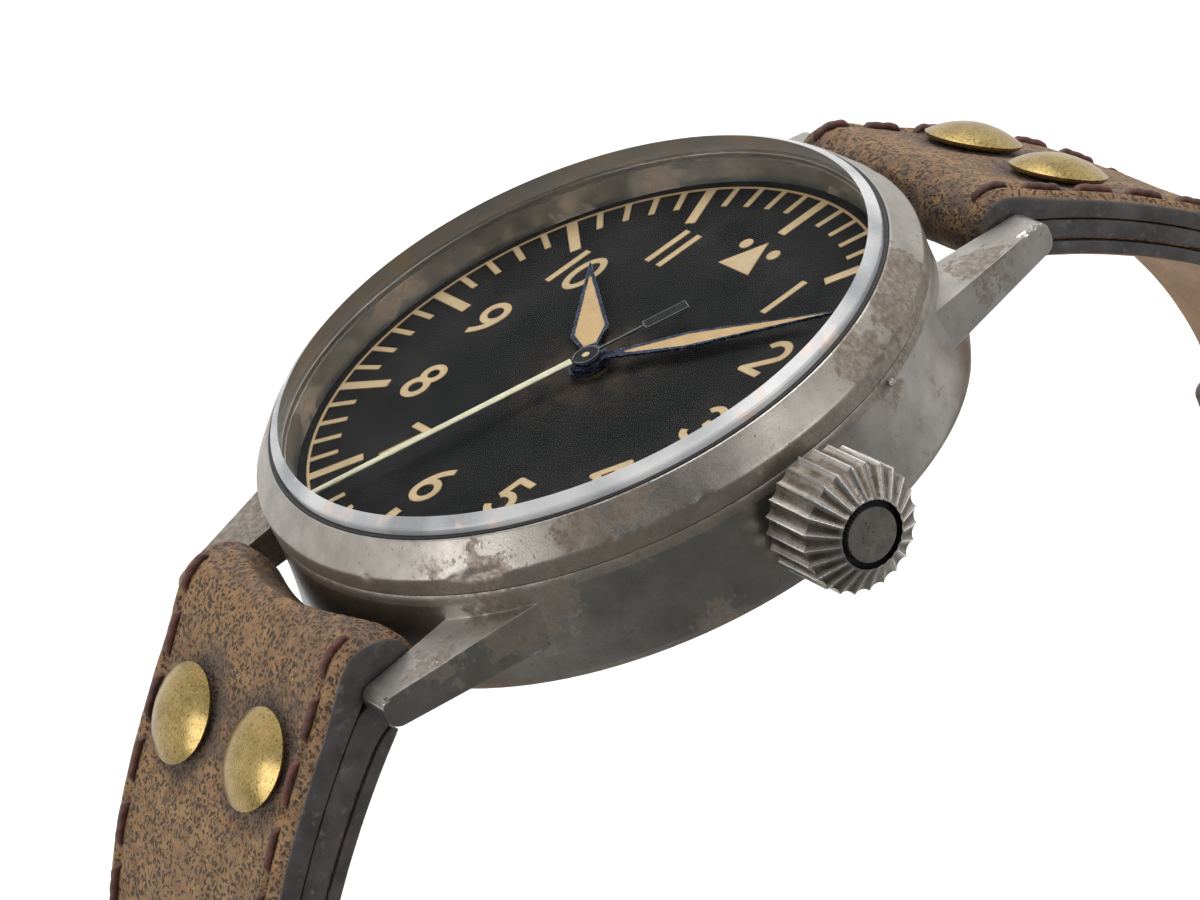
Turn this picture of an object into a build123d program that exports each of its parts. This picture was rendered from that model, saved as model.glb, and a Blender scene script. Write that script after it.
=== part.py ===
from build123d import *
import math
import os

os.makedirs("parts", exist_ok=True)

# Pilot watch on a riveted leather strap. Millimetres, +Z out of the dial, +X to the crown (3 o'clock),
# +Y to 12 o'clock. The origin is the centre of the case back's outer face.

# Clearances between pieces that stay put, and of shafts that turn
fit_gap = 0.05
run_gap = 0.04

# Case
case_r = 20.97
case_band_step = 0.39
case_band_r = case_r + case_band_step
case_foot_step = 0.23
case_foot_r = case_band_r - case_foot_step
case_foot_z = 1.2
case_band_z = 2.0
case_waist_step = 0.1
case_waist_r = case_r + case_waist_step
case_waist_z = 4.4
case_top_z = 7.78
seam_chamfer = 0.07
back_bore_r = 17.25
back_wall_w = 0.9
back_wall_r = back_bore_r - fit_gap
back_wall_inner_r = back_wall_r - back_wall_w
ledge_lip = 0.1
ledge_r = back_wall_inner_r - ledge_lip
ledge_bottom_z = 3.3
ledge_top_z = 3.8
chamber_r = 18.3
dial_seat_r = 19.05
dial_bottom_z = 6.8
dial_top_z = 7.2

# Lugs and spring bars
lug_inner_x = 10.0
lug_root_x = 14.75
lug_tip_x = 12.3
lug_root_in = 5.77
lug_root_y = case_r - lug_root_in
lug_top_root_z = 6.65
lug_top_tip_z = 5.6
lug_bottom_z = 3.65
lug_tip_round = 0.75
lug_root_rounds = 3.5
bar_from_case = 1.94
bar_y = case_band_r + bar_from_case
lug_past_bar = 1.6
lug_tip_y = bar_y + lug_past_bar
bar_z = 4.62
bar_hole_r = 0.5
bar_hole_depth = 1.25
bar_tube_r = 0.75
bar_tube_bore_r = 0.5
bar_tube_half = 8.0
tip_pin_r = 0.44
tip_inner_x = 6.4
tip_outer_x = 11.1
tip_collar_r = 0.7
tip_collar_x = 9.3
tip_collar_len = 0.3

# Bezel, crystal and rehaut
bezel_step = 0.03
bezel_edge_r = case_r + bezel_step
bezel_edge_z = 9.0
bezel_bore_r = 19.25
bezel_shelf_w = 0.4
bezel_shelf_r = bezel_bore_r - bezel_shelf_w
bezel_shelf_bottom_z = 8.9
crystal_r = bezel_bore_r - fit_gap
crystal_gasket_w = 0.27
bezel_lip_r = crystal_r + crystal_gasket_w
bezel_lip_chamfer = 0.15
bezel_top_r = bezel_lip_r + bezel_lip_chamfer
bezel_top_z = 10.72
crystal_bottom_z = 9.3
crystal_edge_z = 11.15
crystal_bevel = 0.65
crystal_shoulder_r = crystal_r - crystal_bevel
crystal_shoulder_z = 11.6
crystal_dome_z = 11.95
crystal_under_rise = 0.25
gasket_top_z = 10.78
rehaut_wall = 0.2
rehaut_outer_r = dial_seat_r - fit_gap
rehaut_r = rehaut_outer_r - rehaut_wall

# Case back
back_flange_w = 1.35
back_flange_r = back_bore_r + back_flange_w
back_wall_top_z = 3.2
back_floor_z = 1.0
back_chamfer = 0.35
back_notch_count = 6
back_notch_w = 2.4
back_notch_depth = 0.9
back_notch_z = 0.6
back_gasket_in = 0.25
back_gasket_w = 0.6
back_gasket_inner_r = back_bore_r + back_gasket_in
back_gasket_outer_r = back_gasket_inner_r + back_gasket_w
back_gasket_h = 0.5

# Crown, tube and stem
crown_z = 5.13
crown_gap = 0.59
crown_len = 5.45
crown_inner_x = case_band_r + crown_gap
crown_outer_x = crown_inner_x + crown_len
crown_r = 3.83
crown_inner_r = 3.3
crown_bevel = 1.2
crown_bevel_start_x = crown_outer_x - crown_bevel
crown_bevel_r = 2.1
crown_flute_count = 24
crown_flute_share = 0.93
crown_ring_outer_r = 2.0
crown_ring_inner_r = 1.6
crown_ring_depth = 0.55
crown_hollow_r = 1.9
crown_hollow_depth = 2.75
crown_hollow_x = crown_inner_x + crown_hollow_depth
crown_gasket_r = 1.86
crown_gasket_depth = 1.65
crown_gasket_x = crown_inner_x + crown_gasket_depth
crown_gasket_len = 0.6
tube_outer_r = 1.5
tube_bore_r = 0.6
tube_seat_share = 0.25
tube_in_crown = 1.05
tube_inner_x = chamber_r + fit_gap
tube_outer_x = crown_inner_x + tube_in_crown
stem_r = 0.5
stem_inner_x = 9.6
stem_from_face = 1.4
stem_end_gap = 0.16
stem_outer_x = crown_outer_x - stem_from_face

# Movement plates
plate_r = 12.8
plate_flange_w = 0.6
plate_flange_r = plate_r + plate_flange_w
plate_flange_top_z = 5.2
plate_bottom_z = 4.85
ring_inner_r = plate_r + fit_gap
ring_outer_r = chamber_r - fit_gap
ring_flange_r = plate_flange_r + fit_gap
ring_clamp_r = 15.3
motion_floor_z = 5.9
motion_gap = 0.25
bridge_bottom_z = 2.7
bridge_top_z = 3.15
bridge_r = plate_r - plate_flange_w
pillar_r = 0.95
pillar_ring_r = 11.0
pillar_angles = (20, 110, 215, 255)
cock_pillar_angle = -78
cock_half_w = 1.7
cock_gap = 0.15
cock_clear_r = 2.75
screw_head_r = 0.75
screw_head_h = 0.3
screw_shank_r = 0.35
screw_len = 2.0
screw_slot_w = 0.18
screw_slot_len = 2.25
screw_slot_depth = 0.15
clamp_angles = (75, 195, 315)
clamp_inner_r = 12.5
clamp_outer_r = 15.1
clamp_w = 2.6
clamp_t = 0.25
clamp_screw_r = 14.3
clamp_round_share = 0.2

# Going train. Every wheel takes its tooth count and module here, and every centre distance follows.
wheel_t = 0.15
arbor_r = 0.2
pivot_z_low = 2.85
pivot_z_high = 5.1
centre_teeth = 64
third_pinion_leaves = 8
third_module = 0.102
third_teeth = 60
fourth_pinion_leaves = 8
fourth_module = 0.108
fourth_teeth = 72
escape_pinion_leaves = 8
escape_module = 0.09
barrel_teeth = 72
centre_pinion_leaves = 12
barrel_module = 0.12
third_angle = 40
escape_angle = -65
barrel_angle = 180
fourth_wheel_z = 3.3
fourth_pinion_z = 3.55
fourth_pinion_top_z = 3.88
third_wheel_z = 3.64
third_pinion_z = 4.35
third_pinion_top_z = 4.78
centre_wheel_z = 4.52
centre_pinion_z = 4.0
centre_tube_r = 0.5
centre_tube_bore_r = 0.26
sweep_arbor_r = 0.22
barrel_gear_z = 4.08
barrel_gear_t = 0.3
barrel_drum_z = 3.5
barrel_cavity_r = 3.75
mainspring_gap = 0.04
mainspring_w = 0.09
mainspring_turns = 7
spring_in_gap = 0.16
spiral_steps = 12
barrel_drum_r = 4.05
barrel_arbor_r = 0.6
escape_pinion_z = 3.24
escape_pinion_top_z = 3.6
escape_wheel_z = 3.95
escape_tooth_count = 15
escape_r = 2.2
escape_rim_r = 1.75
escape_rim_inner_r = 1.4
escape_tip_share = 0.55
escape_heel_share = 0.5
escape_hub_r = 0.4
escape_spoke_w = 0.225

# Escapement and balance
pallet_angle = -50
pallet_distance = 2.9
fork_swing = 5
fork_w = 0.35
fork_hub_r = 0.48
fork_arm_share = 0.9
stone_angle = 30
stone_gap = 0.06
balance_angle = -18
balance_distance = 3.25
balance_r = 2.9
balance_rim_w = 0.5
balance_z = 4.25
balance_t = 0.35
balance_spoke_w = 0.3
balance_spoke_angles = (0, 60, 120)
roller_r = 0.6
roller_z = 3.9
impulse_pin_r = 0.09
impulse_pin_at = 0.42
hairspring_z = 3.4
hairspring_h = 0.16
hairspring_w = 0.06
hairspring_turns = 5
hairspring_inner_r = 0.55
hairspring_outer_r = 1.9
collet_r = 0.45

# Rotor
rotor_boss_r = 1.4
rotor_boss_z = 1.5
rotor_hub_r = 2.6
rotor_web_z = 1.6
rotor_web_t = 0.3
rotor_rim_r = 12.1
rotor_rim_inner_r = 10.6
rotor_rim_top_z = 2.55
rotor_retainer_r = 1.9
rotor_retainer_t = 0.2

# Motion work
cannon_leaves = 10
minute_teeth = 30
minute_leaves = 8
hour_teeth = 32
motion_module = 0.15
minute_angle = 200
cannon_tube_r = 0.68
cannon_gear_z = 5.98
cannon_gear_t = 0.2
cannon_top_z = 8.04
cannon_bottom_z = 5.93
centre_tube_top_z = 7.9
hour_gear_z = 6.3
hour_gear_t = 0.22
hour_pipe_r = 0.98
hour_pipe_inner_r = 0.72
hour_pipe_top_z = 7.74
cannon_root_r = 0.57
minute_leaf_z = 6.25
minute_leaf_t = 0.3
minute_stud_top_z = 6.62
minute_stud_r = 0.3
dial_hole_r = 1.08

# Tooth shape, in shares of the module (heights) and of the tooth pitch (widths)
wheel_tip_share = 0.75
wheel_root_share = 1.15
wheel_tip_width_share = 0.16
wheel_root_width_share = 0.46
leaf_tip_share = 0.55
leaf_root_share = 1.2
leaf_tip_width_share = 0.24
leaf_root_width_share = 0.4

# Dial and print
dial_gap = 0.15
dial_r = dial_seat_r - dial_gap
print_t = 0.04
track_r = 18.1
track_line_w = 0.18
tick_count = 60
minor_tick_w = 0.42
major_tick_w = 0.72
minor_tick_inner_r = 16.2
major_tick_inner_r = 14.55
numeral_r = 12.0
numeral_h = 3.3
numeral_w = 2.15
stroke = 0.5
low_bowl_share = 0.53
wide_bowl_share = 0.97
two_angles = (165, 60, -32)
three_angles = (160, 35)
four_stem_share = 0.4
four_bar_share = 0.35
five_flag_share = 0.85
five_stem_share = 0.75
five_angles = (145, -150)
six_bend_shares = (0.6, 0.4)
six_end_share = 0.5
seven_foot_share = 0.3
ticks_per_hour = 5
hour_count = 12
eleven_step = 1.25
ten_step = 1.95
marker_apex_y = 13.6
marker_base_y = 10.8
marker_half_w = 1.6
marker_dot_x = 1.45
marker_dot_y = 12.9
marker_dot_r = 0.45

# Hands. Angles are clockwise from 12 o'clock.
hour_hand_angle = 304.6
minute_hand_angle = 49.0
second_hand_angle = 197.5
hour_hand_z = 7.58
minute_hand_z = 7.88
second_hand_z = 8.18
hand_t = 0.16
second_hand_t = 0.14
lume_t = 0.13
hour_hub_r = 1.35
hour_neck_half = 0.32
hour_wide_r = 3.55
hour_wide_half = 1.2
hour_tip_r = 11.9
hour_lume_inner_r = 2.0
hour_lume_tip_r = 9.9
minute_hub_r = 1.2
minute_neck_half = 0.28
minute_wide_r = 6.4
minute_wide_half = 0.8
minute_tip_r = 16.2
minute_lume_inner_r = 2.4
minute_lume_tip_r = 15.2
hand_border = 0.24
lume_root_border = 0.06
minute_lume_border = 0.19
minute_lume_end_half = 0.04
second_hub_r = 0.82
second_inner_half = 0.2
second_tip_half = 0.09
second_tip_r = 17.9
second_lume_inner_r = 1.3
second_lume_t = 0.05
counter_rod_half = 0.07
counter_rod_r = 3.85
counter_half = 0.44
counter_end_r = 6.65

# Strap paths. Each half is a chain of legs (length, turn in degrees) seen from the side, starting at the
# centre of the fold round its spring bar.
strap_half_w = 9.75
strap_hole_r = 0.85
strap_top_t = 1.3
strap_lining_t = 0.9
strap_swing = 30
strap_swing_step = 10
case_clear = 0.3
case_sweep_h = 31.0
long_fold_r = 3.0
long_fold_out = 0.2
long_fold_up = 0.41
long_heading = 36
long_legs = ((14.0, 14), (19.55, 40), (8.5, 0), (58.9, 90), (14.5, 0))
long_t_lug = 5.0
long_t_tip = 2.4
long_taper_len = 60.0
short_fold_r = 2.3
short_fold_out = 0.4
short_fold_up = 0.31
short_heading = 28
short_legs = ((16.0, 17), (22.5, 45), (8.0, 0), (28.5, 45.4))
short_t_lug = 3.8
short_t_tip = 3.0
short_taper_len = 45.0
path_step = 2.5

# Rivets
rivet_x = 4.4
long_rivet_s = 6.8
short_rivet_s = 7.2
rivet_r = 3.05
rivet_rim_h = 0.34
rivet_h = 1.3
rivet_foot_r = 2.7
rivet_under_share = 0.6
rivet_under_rise_share = 0.25
rivet_shank_r = 0.9
rivet_back_r = 2.6
rivet_back_t = 0.45
rivet_lift = 0.03
rivet_back_lift = 0.13

# Stitches
stitch_x = 8.35
stitch_pitch = 3.75
stitch_len = 3.0
stitch_r = 0.27
stitch_lift = 0.05
stitch_first_s = 3.2
stitch_end_margin = 5.0

# Strap holes and tip
strap_hole_count = 7
strap_hole_pitch = 7.0
strap_hole_from_tip = 24.0
tongue_hole_r = 0.95
tail_point_len = 7.0
tail_nose_half = 2.2
tail_bulge_shares = (0.62, 0.28)
tail_margin = 1.0

# Keepers
keeper_w = 5.0
keeper_t = 1.3
keeper_side_gap = 0.25
keeper_room = 2.8
fixed_keeper_back = 9.0
free_keeper_s = 42.5
free_keeper_gap = 0.3
keeper_round = 0.5

# Buckle
buckle_bar_r = 0.85
buckle_fold_r = 1.75
buckle_slot_half = 1.45
buckle_slot_len = 5.0
buckle_inner_half = 10.35
buckle_outer_half = 12.6
buckle_front_y = 11.4
buckle_front_w = 2.5
buckle_rear_y = 1.7
buckle_t = 2.0
buckle_round = 3.0
buckle_inner_round = 1.2
buckle_pin_r = 0.6
buckle_notch_half = 1.2
buckle_notch_depth = 0.7
tongue_half = 1.05
tongue_ring_r = 1.6
tongue_t = 0.95
tongue_over = 0.3


def save(part, name):
    part.label = name
    export_step(part, "parts/" + name + ".step")


def tube(outer_r, inner_r, bottom, top, mode=Mode.ADD):
    with BuildSketch(Plane.XY.offset(bottom)) as face:
        Circle(outer_r)
        if inner_r:
            Circle(inner_r, mode=Mode.SUBTRACT)
    extrude(face.sketch, amount=top - bottom, mode=mode)


def lathe(points):
    with BuildSketch(Plane.XZ) as face:
        with BuildLine():
            Polyline(*points, close=True)
        make_face()
    revolve(face.sketch, axis=Axis.Z)


# Middle point of the arc from a rim to the top of a dome, as its radius and its drop below the top
def dome_middle(rim_r, rise):
    ball_r = (rim_r**2 + rise**2) / (2 * rise)
    half_angle = math.asin(rim_r / ball_r) / 2
    return ball_r * math.sin(half_angle), ball_r * (1 - math.cos(half_angle))


def polar(radius, angle):
    return radius * math.cos(math.radians(angle)), radius * math.sin(math.radians(angle))


def on_circle(centre_y, radius, angle):
    x, y = polar(radius, angle)
    return x, centre_y + y


def clock(angle):
    return 90 - angle


# Case body: a lathed ring with four lugs
def lug_block():
    side = (
        (-lug_root_y + lug_root_rounds * lug_tip_round, lug_bottom_z),
        (-lug_tip_y, lug_bottom_z),
        (-lug_tip_y, lug_top_tip_z),
        (-lug_root_y + lug_root_rounds * lug_tip_round, lug_top_root_z),
    )
    with BuildPart(mode=Mode.PRIVATE) as block:
        with BuildSketch(Plane.YZ.offset(lug_inner_x)):
            with BuildLine():
                Polyline(*side, close=True)
            make_face()
        extrude(amount=case_r - lug_inner_x)
        tip_edges = block.edges().filter_by(Axis.X).group_by(Axis.Y)[0]
        fillet(tip_edges, radius=lug_tip_round)
        slope = (lug_root_x - lug_tip_x) / (lug_tip_y - lug_root_y)
        inner_reach = lug_root_y - lug_root_rounds * lug_tip_round
        outer = lug_root_x + slope * (lug_root_y - inner_reach)
        plan = (
            (lug_inner_x, -inner_reach),
            (lug_inner_x, -lug_tip_y),
            (lug_tip_x, -lug_tip_y),
            (outer, -inner_reach),
        )
        with BuildSketch(Plane.XY):
            with BuildLine():
                Polyline(*plan, close=True)
            make_face()
        extrude(amount=case_top_z, mode=Mode.INTERSECT)
    return block.part


lug = lug_block()
lug_mirror = lug.mirror(Plane.XZ)
lugs = [lug, lug_mirror, lug.mirror(Plane.YZ), lug_mirror.mirror(Plane.YZ)]

with BuildPart() as case_body:
    with BuildSketch(Plane.XZ):
        with BuildLine():
            Polyline(
                (0, case_foot_z),
                (case_foot_r, case_foot_z),
                (case_band_r, case_band_z),
            )
            ThreePointArc(
                (case_band_r, case_band_z),
                (case_waist_r, case_waist_z),
                (case_r, case_top_z - seam_chamfer),
            )
            Polyline(
                (case_r, case_top_z - seam_chamfer),
                (case_r - seam_chamfer, case_top_z),
                (0, case_top_z),
                (0, case_foot_z),
            )
        make_face()
    revolve(axis=Axis.Z)
    for block in lugs:
        add(block)
    tube(back_bore_r, 0, case_foot_z, ledge_bottom_z, mode=Mode.SUBTRACT)
    tube(ledge_r, 0, ledge_bottom_z, ledge_top_z, mode=Mode.SUBTRACT)
    tube(chamber_r, 0, ledge_top_z, dial_bottom_z, mode=Mode.SUBTRACT)
    tube(dial_seat_r, 0, dial_bottom_z, case_top_z, mode=Mode.SUBTRACT)
    tube(
        back_gasket_outer_r,
        back_gasket_inner_r,
        case_foot_z,
        case_foot_z + back_gasket_h,
        mode=Mode.SUBTRACT,
    )
    with BuildSketch(Plane.YZ.offset(chamber_r - tube_seat_share * tube_outer_r)):
        with Locations((0, crown_z)):
            Circle(tube_outer_r)
    extrude(amount=tube_outer_x - chamber_r, mode=Mode.SUBTRACT)
    with BuildSketch(Plane.YZ.offset(-lug_inner_x - bar_hole_depth)):
        with Locations((bar_y, bar_z), (-bar_y, bar_z)):
            Circle(bar_hole_r)
    extrude(amount=2 * (lug_inner_x + bar_hole_depth), mode=Mode.SUBTRACT)
save(case_body.part, "case_body")

# Bezel
with BuildPart() as bezel:
    lathe(
        (
            (bezel_bore_r, case_top_z),
            (bezel_edge_r - 2 * seam_chamfer, case_top_z),
            (bezel_edge_r, case_top_z + 2 * seam_chamfer),
            (bezel_edge_r, bezel_edge_z),
            (bezel_top_r, bezel_top_z),
            (bezel_lip_r, bezel_top_z),
            (bezel_lip_r, crystal_bottom_z),
            (bezel_shelf_r, crystal_bottom_z),
            (bezel_shelf_r, bezel_shelf_bottom_z),
            (bezel_bore_r, bezel_shelf_bottom_z),
        )
    )
save(bezel.part, "bezel")

# Crystal and its gasket
top_x, top_drop = dome_middle(crystal_shoulder_r, crystal_dome_z - crystal_shoulder_z)
under_x, under_drop = dome_middle(bezel_shelf_r, crystal_under_rise)

with BuildPart() as crystal:
    with BuildSketch(Plane.XZ):
        with BuildLine():
            Polyline(
                (bezel_shelf_r, crystal_bottom_z),
                (crystal_r, crystal_bottom_z),
                (crystal_r, crystal_edge_z),
                (crystal_shoulder_r, crystal_shoulder_z),
            )
            ThreePointArc(
                (crystal_shoulder_r, crystal_shoulder_z),
                (top_x, crystal_dome_z - top_drop),
                (0, crystal_dome_z),
            )
            Line((0, crystal_dome_z), (0, crystal_bottom_z + crystal_under_rise))
            ThreePointArc(
                (0, crystal_bottom_z + crystal_under_rise),
                (under_x, crystal_bottom_z + crystal_under_rise - under_drop),
                (bezel_shelf_r, crystal_bottom_z),
            )
        make_face()
    revolve(axis=Axis.Z)
save(crystal.part, "crystal")

with BuildPart() as crystal_gasket:
    tube(bezel_lip_r, crystal_r, crystal_bottom_z, gasket_top_z)
save(crystal_gasket.part, "crystal_gasket")

with BuildPart() as rehaut_ring:
    tube(rehaut_outer_r, rehaut_r, dial_top_z, bezel_shelf_bottom_z)
save(rehaut_ring.part, "rehaut_ring")

# Case back and its gasket
with BuildPart() as case_back:
    tube(back_flange_r, 0, 0, case_foot_z)
    chamfer(case_back.edges().group_by(Axis.Z)[0], length=back_chamfer)
    tube(back_wall_r, 0, case_foot_z, back_wall_top_z)
    tube(back_wall_inner_r, 0, back_floor_z, back_wall_top_z, mode=Mode.SUBTRACT)
    with BuildSketch():
        with PolarLocations(back_flange_r, back_notch_count):
            Rectangle(2 * back_notch_depth, back_notch_w)
    extrude(amount=back_notch_z, mode=Mode.SUBTRACT)
save(case_back.part, "case_back")

with BuildPart() as back_gasket:
    tube(
        back_gasket_outer_r,
        back_gasket_inner_r,
        case_foot_z,
        case_foot_z + back_gasket_h,
    )
save(back_gasket.part, "back_gasket")

# Spring bars: a hollow tube at each end of the case, with two sprung tips in it
with BuildPart() as bar_tubes:
    with BuildSketch(Plane.YZ.offset(-bar_tube_half)):
        with Locations((bar_y, bar_z), (-bar_y, bar_z)):
            Circle(bar_tube_r)
            Circle(bar_tube_bore_r, mode=Mode.SUBTRACT)
    extrude(amount=2 * bar_tube_half)
save(bar_tubes.part, "bar_tubes")


def bar_tips(y, name):
    for side, side_name in ((1, "right"), (-1, "left")):
        with BuildPart() as tip:
            with BuildSketch(Plane.YZ.offset(side * tip_inner_x)):
                with Locations((y, bar_z)):
                    Circle(tip_pin_r)
            extrude(amount=side * (tip_outer_x - tip_inner_x))
            with BuildSketch(Plane.YZ.offset(side * tip_collar_x)):
                with Locations((y, bar_z)):
                    Circle(tip_collar_r)
            extrude(amount=side * tip_collar_len)
        save(tip.part, name + "_bar_tip_" + side_name)


bar_tips(bar_y, "upper")
bar_tips(-bar_y, "lower")

# Crown, gasket, tube and stem, all on one axis along X
def along_x(radius, start, end, mode=Mode.ADD, inner=0):
    with BuildSketch(Plane.YZ.offset(start)) as face:
        with Locations((0, crown_z)):
            Circle(radius)
            if inner:
                Circle(inner, mode=Mode.SUBTRACT)
    extrude(face.sketch, amount=end - start, mode=mode)


with BuildPart() as crown_tube:
    along_x(tube_outer_r, tube_inner_x, tube_outer_x, inner=tube_bore_r)
save(crown_tube.part, "crown_tube")

# The crown's outline at one distance from the case: a ring of hollow flutes that meet in ridges
def crown_section(x, ridge_r):
    step = 360 / crown_flute_count
    with BuildSketch(Plane.YZ.offset(x), mode=Mode.PRIVATE) as face:
        with BuildLine() as outline:
            for flute in range(crown_flute_count):
                ThreePointArc(
                    on_circle(crown_z, ridge_r, flute * step),
                    on_circle(crown_z, crown_flute_share * ridge_r, (flute + 1 / 2) * step),
                    on_circle(crown_z, ridge_r, (flute + 1) * step),
                )
        make_face(outline.edges())
    return face.sketch


with BuildPart() as crown:
    loft(
        [
            crown_section(crown_inner_x, crown_inner_r),
            crown_section(crown_inner_x + (crown_r - crown_inner_r), crown_r),
            crown_section(crown_bevel_start_x, crown_r),
            crown_section(crown_outer_x, crown_bevel_r),
        ],
        ruled=True,
    )
    along_x(
        crown_ring_outer_r,
        crown_outer_x - crown_ring_depth,
        crown_outer_x,
        mode=Mode.SUBTRACT,
        inner=crown_ring_inner_r,
    )
    along_x(crown_hollow_r, crown_inner_x, crown_hollow_x, mode=Mode.SUBTRACT)
    along_x(stem_r, crown_hollow_x, stem_outer_x, mode=Mode.SUBTRACT)
save(crown.part, "crown")

with BuildPart() as crown_gasket:
    along_x(
        crown_gasket_r,
        crown_gasket_x - 2 * crown_gasket_len,
        crown_gasket_x - crown_gasket_len,
        inner=tube_outer_r + run_gap,
    )
save(crown_gasket.part, "crown_gasket")

with BuildPart() as winding_stem:
    along_x(stem_r, stem_inner_x, stem_outer_x)
save(winding_stem.part, "winding_stem")

# Positions and radii of the train, all from the tooth counts and modules
third_distance = (centre_teeth + third_pinion_leaves) * third_module / 2
escape_distance = (fourth_teeth + escape_pinion_leaves) * escape_module / 2
barrel_distance = (barrel_teeth + centre_pinion_leaves) * barrel_module / 2
motion_distance = (cannon_leaves + minute_teeth) * motion_module / 2
third_at = polar(third_distance, third_angle)
escape_at = polar(escape_distance, escape_angle)
barrel_at = polar(barrel_distance, barrel_angle)
minute_at = polar(motion_distance, minute_angle)


def step_from(start, distance, angle):
    dx, dy = polar(distance, angle)
    return start[0] + dx, start[1] + dy


pallet_at = step_from(escape_at, pallet_distance, pallet_angle)
balance_at = step_from(pallet_at, balance_distance, balance_angle)
pillars_at = [polar(pillar_ring_r, angle) for angle in pillar_angles]
cock_pillar_at = polar(pillar_ring_r, cock_pillar_angle)
centre_at = (0, 0)


def toothed_outline(centre, teeth, module, first_angle, leaves=False):
    shares = (
        (leaf_tip_share, leaf_root_share, leaf_tip_width_share, leaf_root_width_share)
        if leaves
        else (wheel_tip_share, wheel_root_share, wheel_tip_width_share, wheel_root_width_share)
    )
    tip_r = teeth * module / 2 + shares[0] * module
    root_r = teeth * module / 2 - shares[1] * module
    pitch = 360 / teeth
    points = []
    for tooth in range(teeth):
        middle = first_angle + tooth * pitch
        points.append(step_from(centre, root_r, middle - shares[3] * pitch / 2))
        points.append(step_from(centre, tip_r, middle - shares[2] * pitch / 2))
        points.append(step_from(centre, tip_r, middle + shares[2] * pitch / 2))
        points.append(step_from(centre, root_r, middle + shares[3] * pitch / 2))
    return points


def gear(centre, teeth, module, first_angle, bottom, top, bore=0, leaves=False):
    with BuildSketch(Plane.XY.offset(bottom)) as face:
        with BuildLine():
            Polyline(*toothed_outline(centre, teeth, module, first_angle, leaves), close=True)
        make_face()
        if bore:
            with Locations(centre):
                Circle(bore, mode=Mode.SUBTRACT)
    extrude(face.sketch, amount=top - bottom)


def post(centre, radius, bottom, top, mode=Mode.ADD, inner=0):
    with BuildSketch(Plane.XY.offset(bottom)) as face:
        with Locations(centre):
            Circle(radius)
            if inner:
                Circle(inner, mode=Mode.SUBTRACT)
    extrude(face.sketch, amount=top - bottom, mode=mode)


def arbor(centre):
    post(centre, arbor_r, pivot_z_low, pivot_z_high)


pivots = (third_at, escape_at, pallet_at)

# Movement ring and its clamps
with BuildPart() as movement_ring:
    tube(ring_outer_r, ring_inner_r, ledge_top_z, dial_bottom_z)
    tube(ring_flange_r, 0, ledge_top_z, plate_flange_top_z, mode=Mode.SUBTRACT)
    tube(ring_clamp_r, 0, ledge_top_z, plate_bottom_z, mode=Mode.SUBTRACT)
    along_x(stem_r + run_gap, plate_r, ring_outer_r + fit_gap, mode=Mode.SUBTRACT)
    for angle in clamp_angles:
        post(
            polar(clamp_screw_r, angle),
            screw_shank_r,
            plate_bottom_z,
            plate_bottom_z + screw_len - clamp_t,
            mode=Mode.SUBTRACT,
        )
save(movement_ring.part, "movement_ring")

with BuildPart() as movement_clamps:
    for angle in clamp_angles:
        with BuildSketch(Plane.XY.offset(plate_bottom_z - clamp_t).rotated((0, 0, angle))):
            with Locations(((clamp_inner_r + clamp_outer_r) / 2, 0)):
                RectangleRounded(clamp_outer_r - clamp_inner_r, clamp_w, clamp_round_share * clamp_w)
            with Locations((clamp_screw_r, 0)):
                Circle(screw_shank_r, mode=Mode.SUBTRACT)
        extrude(amount=clamp_t)
save(movement_clamps.part, "movement_clamps")


# Identical slotted screws, heads down, in one node
screws_at = [(place, bridge_bottom_z) for place in pillars_at + [cock_pillar_at]]
screws_at += [
    (polar(clamp_screw_r, angle), plate_bottom_z - clamp_t - screw_head_h) for angle in clamp_angles
]

with BuildPart() as movement_screws:
    for place, head_z in screws_at:
        post(place, screw_head_r, head_z, head_z + screw_head_h)
        post(place, screw_shank_r, head_z + screw_head_h, head_z + screw_head_h + screw_len)
        with BuildSketch(Plane.XY.offset(head_z)) as slot:
            with Locations(place):
                Rectangle(screw_slot_len, screw_slot_w)
        extrude(slot.sketch, amount=screw_slot_depth, mode=Mode.SUBTRACT)
save(movement_screws.part, "movement_screws")

# Main plate with the recess for the motion work
hour_wheel_tip_r = hour_teeth * motion_module / 2 + wheel_tip_share * motion_module
minute_wheel_tip_r = minute_teeth * motion_module / 2 + wheel_tip_share * motion_module
screw_reach_z = bridge_bottom_z + screw_head_h + screw_len

with BuildPart() as main_plate:
    tube(plate_r, 0, plate_bottom_z, dial_bottom_z)
    tube(plate_flange_r, 0, plate_bottom_z, plate_flange_top_z)
    post(centre_at, hour_wheel_tip_r + motion_gap, motion_floor_z, dial_bottom_z, mode=Mode.SUBTRACT)
    post(minute_at, minute_wheel_tip_r + motion_gap, motion_floor_z, dial_bottom_z, mode=Mode.SUBTRACT)
    post(minute_at, minute_stud_r, motion_floor_z, minute_stud_top_z)
    post(centre_at, centre_tube_r + run_gap, plate_bottom_z, motion_floor_z, mode=Mode.SUBTRACT)
    for place in pivots + (balance_at,):
        post(place, arbor_r + run_gap, plate_bottom_z, pivot_z_high + run_gap, mode=Mode.SUBTRACT)
    post(barrel_at, barrel_arbor_r, plate_bottom_z, pivot_z_high, mode=Mode.SUBTRACT)
    for place in pillars_at + [cock_pillar_at]:
        post(place, screw_shank_r, plate_bottom_z, screw_reach_z, mode=Mode.SUBTRACT)
    along_x(stem_r + run_gap, stem_inner_x - stem_end_gap, plate_flange_r + fit_gap, mode=Mode.SUBTRACT)
save(main_plate.part, "main_plate")

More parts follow.
